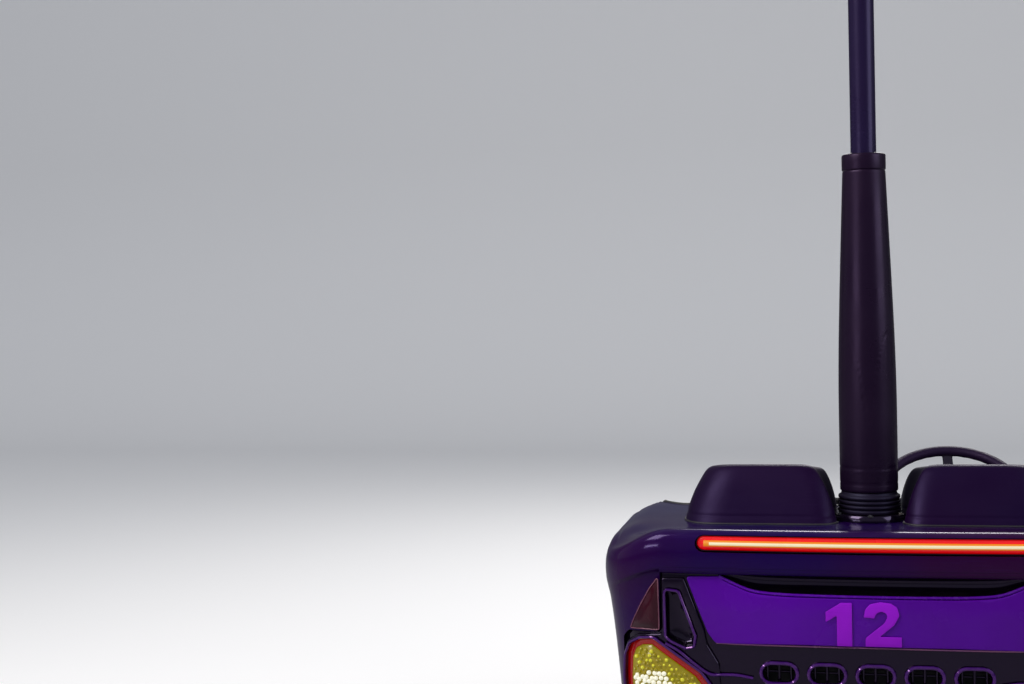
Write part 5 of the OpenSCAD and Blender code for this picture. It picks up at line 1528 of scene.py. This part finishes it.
def wheelPieces(name, wheel, x, body, node):
    radius, w, bore, hub = wheel["radius"], wheel["width"] / 2, wheel["bore"], wheel["hub"]
    m = Matrix.Translation((x, wheel["y"], radius)) @ rotation(90, "Y")
    bag = Bag()
    rows = [(radius * 0.72, -w), (radius - 0.008, -w), (radius - 0.0025, -w + 0.0025), (radius, -w + 0.008),
            (radius, -0.0035), (radius - 0.0028, -0.0022), (radius - 0.0028, 0.0022), (radius, 0.0035),
            (radius, w - 0.008), (radius - 0.0025, w - 0.0025), (radius - 0.008, w), (radius * 0.72, w),
            (radius * 0.69, w - 0.004), (radius * 0.69, -w + 0.004)]
    # Every other part of the tyre's shoulders is sunk
    rings = [[around(r - (0.0016 if i in (2, 3, 8, 9) and k % 2 else 0.0), a, z) for k, a in enumerate(turns(44))]
             for i, (r, z) in enumerate(rows)]
    bag.loft(rings, closedPath=True, matrix=m)
    makePiece("tyre_" + name, bag, tyreRubber, 38, node, body=body)
    bag = Bag()
    half = [(bore, -hub), (0.03, -hub), (0.0335, -hub + 0.003), (0.036, -w + 0.013), (radius * 0.6, -w + 0.012),
            (radius * 0.655, -w + 0.007), (radius * 0.665, -w + 0.002), (radius * 0.7, -w + 0.001)]
    bag.lathe(half + [(r, -z) for r, z in half[::-1]], 56, m, closed=True)
    for side, a in [(side, a) for side, label in sides for a in turns(5)]:
        bag.bolt(m @ Vector(around(radius * 0.48, a, side * (w - 0.0125))), m.to_3x3() @ Vector((0, 0, side)), 0.0045,
                 0.004, slot=1)
    makePiece("hub_" + name, bag, [motorCast, brightSteel], 35, body=body)


for side, name in sides:
    wheelPieces("rear_" + name, rearWheel, side * rearWheel["x"], "wheel_" + name, "rear_wheel_" + name)
wheelPieces("drive", driveWheel, 0, "drive_wheel", "drive_wheel")

low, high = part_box("drive_motor")
bag = Bag()
centre = Matrix.Translation(((low[0] + high[0]) / 2, (low[1] + high[1]) / 2, low[2]))
tallMotor = high[2] - low[2]
big = (high[0] - low[0]) / 2
# Rows of height, share of the radius and, where the motor has cooling fins, their depth
motorRows = ((0, 0.92, 0), (0.002, 0.985, 0), (0.016, 0.985, 0), (0.018, 0.93, 0), (0.022, 0.93, 0), (0.024, 1, 0.08),
             (0.108, 1, 0.08), (0.11, 0.93, 0), (0.114, 0.93, 0), (0.116, 0.985, 0), (0.13, 0.985, 0),
             (0.138, 0.95, 0), (tallMotor - 0.004, 0.78, 0), (tallMotor, 0.7, 0))
rings = [[around(big * (r - (depth if k % 4 in (2, 3) else 0)), a, z) for k, a in enumerate(turns(144))]
         for z, r, depth in motorRows]
bag.loft(rings, capStart=True, capEnd=True, matrix=centre)
for a in turns(6):
    bag.bolt(centre @ Vector(around(big * 0.86, a + 0.3, 0.136)), (0, 0, 1), 0.0045, 0.004, slot=1)
makePiece("driveMotor", bag, [motorCast, darkSteel], 35, "drive_motor", body="drive_unit")
bag = Bag()
for a in turns(12):
    bag.bolt(Vector((0, driveWheel["y"], 0)) + Vector(around(slewRing["radius"], a, slewRing["z"])), (0, 0, 1), 0.006,
             0.005)
makePiece("slewBolts", bag, darkSteel, 35, body="drive_unit")
print("drive ready")

# Seats: vinyl cushions and backs puffed up by a cloth simulation, then pleated and piped
seat = {"voxel": 0.006, "pressure": 4.0, "frames": 20, "cushionCap": 0.014, "backCap": 0.012, "pleat": 0.0045,
        "pleatWidth": 0.0045, "piping": 0.0042, "lean": 10}


# Puffs a pad up by cloth pressure; no point ends further from its start than the cap
def puff(obj, cap):
    start = [v.co.copy() for v in obj.data.vertices]
    cloth = obj.modifiers.new("cloth", "CLOTH")
    settings = {"quality": 4, "mass": 0.4, "tension_stiffness": 18, "compression_stiffness": 18,
                "shear_stiffness": 8, "bending_stiffness": 1.2, "use_pressure": True,
                "uniform_pressure_force": seat["pressure"]}
    for key, value in settings.items():
        setattr(cloth.settings, key, value)
    cloth.settings.effector_weights.gravity = 0
    cloth.collision_settings.use_collision = False
    cloth.collision_settings.use_self_collision = False
    cloth.point_cache.frame_start = 1
    cloth.point_cache.frame_end = seat["frames"]
    for f in range(1, seat["frames"] + 1):
        bpy.context.scene.frame_set(f)
    bakeModifiers(obj)
    bpy.context.scene.frame_set(1)
    for v, p in zip(obj.data.vertices, start):
        move = v.co - p
        if move.length > cap:
            v.co = p + move * (cap / move.length)


# A stuffed pad for the space from low to high, built smaller by most of the cap. Its upper or front side is sewn:
# pleats run at the given places in X, and a seam crosses them at both ends of their reach.
def pad(name, low, high, cap, radius, pleats, reach, faceUp, matrix):
    shrink = cap * 0.92
    half = [(h - l) / 2 for l, h in zip(low, high)]
    bm = bmesh.new()
    bmesh.ops.create_cube(bm, size=1.0)
    for v in bm.verts:
        v.co = Vector([c * 2 * (h - shrink) for c, h in zip(v.co, half)])
    bmesh.ops.bevel(bm, geom=bm.edges[:], offset=radius, segments=6, profile=0.5, affect="EDGES")
    mesh = bpy.data.meshes.new(name)
    bm.to_mesh(mesh)
    bm.free()
    obj = linkObject(name, mesh)
    remesh = obj.modifiers.new("remesh", "REMESH")
    remesh.mode = "VOXEL"
    remesh.voxel_size = seat["voxel"]
    bakeModifiers(obj)
    puff(obj, cap)
    # The pad keeps inside its space
    for v in obj.data.vertices:
        v.co = Vector([min(max(c, -h), h) for c, h in zip(v.co, half)])
    setSubdivision(obj, 1)
    face, up = (2, 1) if faceUp else (1, 2)
    for v in obj.data.vertices:
        x, along = v.co.x, v.co[up]
        sewn = ease(0, 0.02, along - reach[0]) * ease(0, 0.02, reach[1] - along)
        dent = sum(math.exp(-((x - p) / seat["pleatWidth"]) ** 2) for p in pleats)
        dent += 0.8 * sum(math.exp(-((along - end) / seat["pleatWidth"]) ** 2) for end in reach) * ease(
            0, 0.01, pleats[-1] + 0.0005 - abs(x))
        crumple = 0.0006 * (math.sin(x * 61 + along * 23) + math.sin(along * 83 - x * 37))
        v.co[face] -= ease(0.15, 0.6, v.co[face] / half[face]) * (dent * seat["pleat"] * sewn - crumple * 0.6)
    for v in obj.data.vertices:
        v.co = matrix @ v.co
    obj.data.materials.append(seatVinyl)
    setSmooth(obj.data, 180)
    return obj


# Piping along a ring that is pressed onto the pad's surface
def piping(name, obj, ring, centre):
    points = []
    for p in ring:
        towards = (centre - p).normalized()
        hit, place, normal, index = obj.ray_cast(p - towards * 0.06, towards)
        if hit:
            points.append(place + normal * 0.0008)
    line = [(a + p * 2 + b) / 4 for a, p, b in zip(points[-1:] + points, points, points[1:] + points[:1])]
    tubePiece(name, line, seat["piping"], pipingVinyl, 80, closed=True)


def padRing(halfX, halfY, corner):
    line = roundOutline([(halfX, halfY, corner), (-halfX, halfY, corner), (-halfX, -halfY, corner),
                         (halfX, -halfY, corner)], corner, 12)
    out = []
    for a, b in zip(line, line[1:] + line[:1]):
        out += [a.lerp(b, t) for t in span(0, 1, max(1, int((b - a).length / 0.012)))[:-1]]
    return out


for side, name in sides:
    low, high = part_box("seat_cushion_" + name)
    centre = (Vector(low) + Vector(high)) / 2
    half = (Vector(high) - Vector(low)) / 2
    pleats = span(-0.13, 0.13, 4)
    place = Matrix.Translation(centre)
    cushion = pad("seatCushion_" + name, low, high, seat["cushionCap"], 0.026, pleats, (-0.165, 0.14), True, place)
    settle(cushion, "seat_cushion_" + name)
    for z, label in ((0.026, "Upper"), (-0.028, "Lower")):
        ring = [place @ Vector((p.x, p.y, z)) for p in padRing(half.x, half.y, 0.03)]
        piping("cushionPiping" + label + "_" + name, cushion, ring, place @ Vector((0, 0, z * 0.4)))
    # The back leans; its own frame is turned with it
    turn = rotation(seat["lean"], "X")
    local = [turn.inverted() @ v.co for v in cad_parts["seat_back_" + name].data.vertices]
    low = Vector([min(p[k] for p in local) for k in range(3)])
    high = Vector([max(p[k] for p in local) for k in range(3)])
    half = (high - low) / 2
    place = turn @ Matrix.Translation((low + high) / 2)
    back = pad("seatBack_" + name, low, high, seat["backCap"], 0.018, span(-0.12, 0.12, 4), (-0.12, 0.12), False,
               place)
    settle(back, "seat_back_" + name)
    ring = [place @ Vector((p.x, half.y * 0.5, p.y)) for p in padRing(half.x, half.z, 0.03)]
    piping("backPiping_" + name, back, ring, place @ Vector((0, half.y * 0.2, 0)))
print("seats ready")

# Materials of the CAD pieces that stay
cadLooks = {"chassis_frame": chassisPaint, "rear_axle": darkSteel, "bumper_channel": chassisPaint,
            "seat_plinth": tubPlastic, "steering_column": blackGloss, "steering_shaft": brightSteel,
            "drive_unit": motorCast, "mast_post": chassisPaint, "mast_pole": poleSteel,
            "contact_shoe": contactBrass}
for node, material in cadLooks.items():
    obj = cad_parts[node]
    if not obj.material_slots:
        obj.data.materials.append(material)
    for materialSlot in obj.material_slots:
        materialSlot.material = material
print("frame dressed")

# Floor, light and camera
studio = {"front": -30, "halfWidth": 30, "wallY": 9, "bend": 3, "wallTop": 14, "floor": (0.8, 0.79, 0.78, 1),
          "reflected": (0.32, 0.32, 0.33, 1), "glow": 0.2, "sky": (0.86, 0.9, 1.0, 1), "skyStrength": 0.38}
bag = Bag()
profile = [(studio["front"], 0.0)]
profile += [(studio["wallY"] + studio["bend"] * math.sin(a), studio["bend"] * (1 - math.cos(a)))
            for a in span(0, math.pi / 2, 8)]
profile.append((studio["wallY"] + studio["bend"], studio["wallTop"]))
bag.loft([[(x, y, z) for y, z in profile] for x in (-studio["halfWidth"], studio["halfWidth"])], closedRing=False)
mesh = bpy.data.meshes.new("floor")
mesh.from_pydata(bag.vertices, [], bag.faces)
setSmooth(mesh, 60)
floor = linkObject("floor", mesh)
floorMaterial = bpy.data.materials.new("pale floor")
floorMaterial.use_nodes = True
tree = floorMaterial.node_tree
# The floor is pale to the camera and duller in the car's reflections
seen = addNode(tree, "LightPath").outputs["Is Camera Ray"]
tone = addNode(tree, "Mix", {0: seen, 6: studio["reflected"], 7: studio["floor"]}, data_type="RGBA")
feed(tree, tree.nodes["Principled BSDF"], {
    "Roughness": 0.75, "Base Color": tone.outputs[2], "Emission Color": (0.9, 0.92, 0.96, 1),
    "Emission Strength": mathNode(tree, "MULTIPLY", seen, studio["glow"])})
mesh.materials.append(floorMaterial)

scene = bpy.context.scene
scene.world = bpy.data.worlds.new("studio")
scene.world.use_nodes = True
tree = scene.world.node_tree
feed(tree, tree.nodes["Background"], {"Color": studio["sky"], "Strength": studio["skyStrength"]})


def areaLight(name, place, target, size, power, colour, sizeY=None):
    light = bpy.data.lights.new(name, "AREA")
    light.energy = power
    light.color = colour
    light.shape = "RECTANGLE" if sizeY else "SQUARE"
    light.size = size
    if sizeY:
        light.size_y = sizeY
    obj = linkObject(name, light)
    obj.location = place
    obj.rotation_euler = (Vector(target) - Vector(place)).to_track_quat("-Z", "Y").to_euler()


areaLight("key", (-3.2, -3.0, 4.6), (0, -0.3, 0.6), 2.6, 230, (1.0, 0.97, 0.93))
areaLight("fill", (4.2, -2.2, 2.8), (0, -0.2, 0.6), 3.0, 90, (0.88, 0.92, 1.0))
areaLight("back", (0.6, 4.2, 4.4), (0, 0, 0.7), 3.0, 160, (1.0, 0.98, 0.96), 1.4)
areaLight("strip", (-2.6, -3.4, 1.5), (-0.2, -0.8, 0.75), 1.6, 16, (0.96, 0.94, 1.0), 0.22)

view = {"place": (-0.069, -3.586, 1.28), "yaw": 12.42, "pitch": -1.42, "roll": -1.33, "lens": 50.98}
camera = linkObject("camera", bpy.data.cameras.new("camera"))
camera.data.lens = view["lens"]
camera.data.sensor_width = 36
camera.data.clip_end = 80
camera.location = view["place"]
turn = rotation(view["yaw"], "Z") @ rotation(90 + view["pitch"], "X") @ rotation(view["roll"], "Z")
camera.rotation_euler = turn.to_euler()
scene.camera = camera
scene.view_settings.view_transform = "Standard"

print("pieces:", pieceCount)
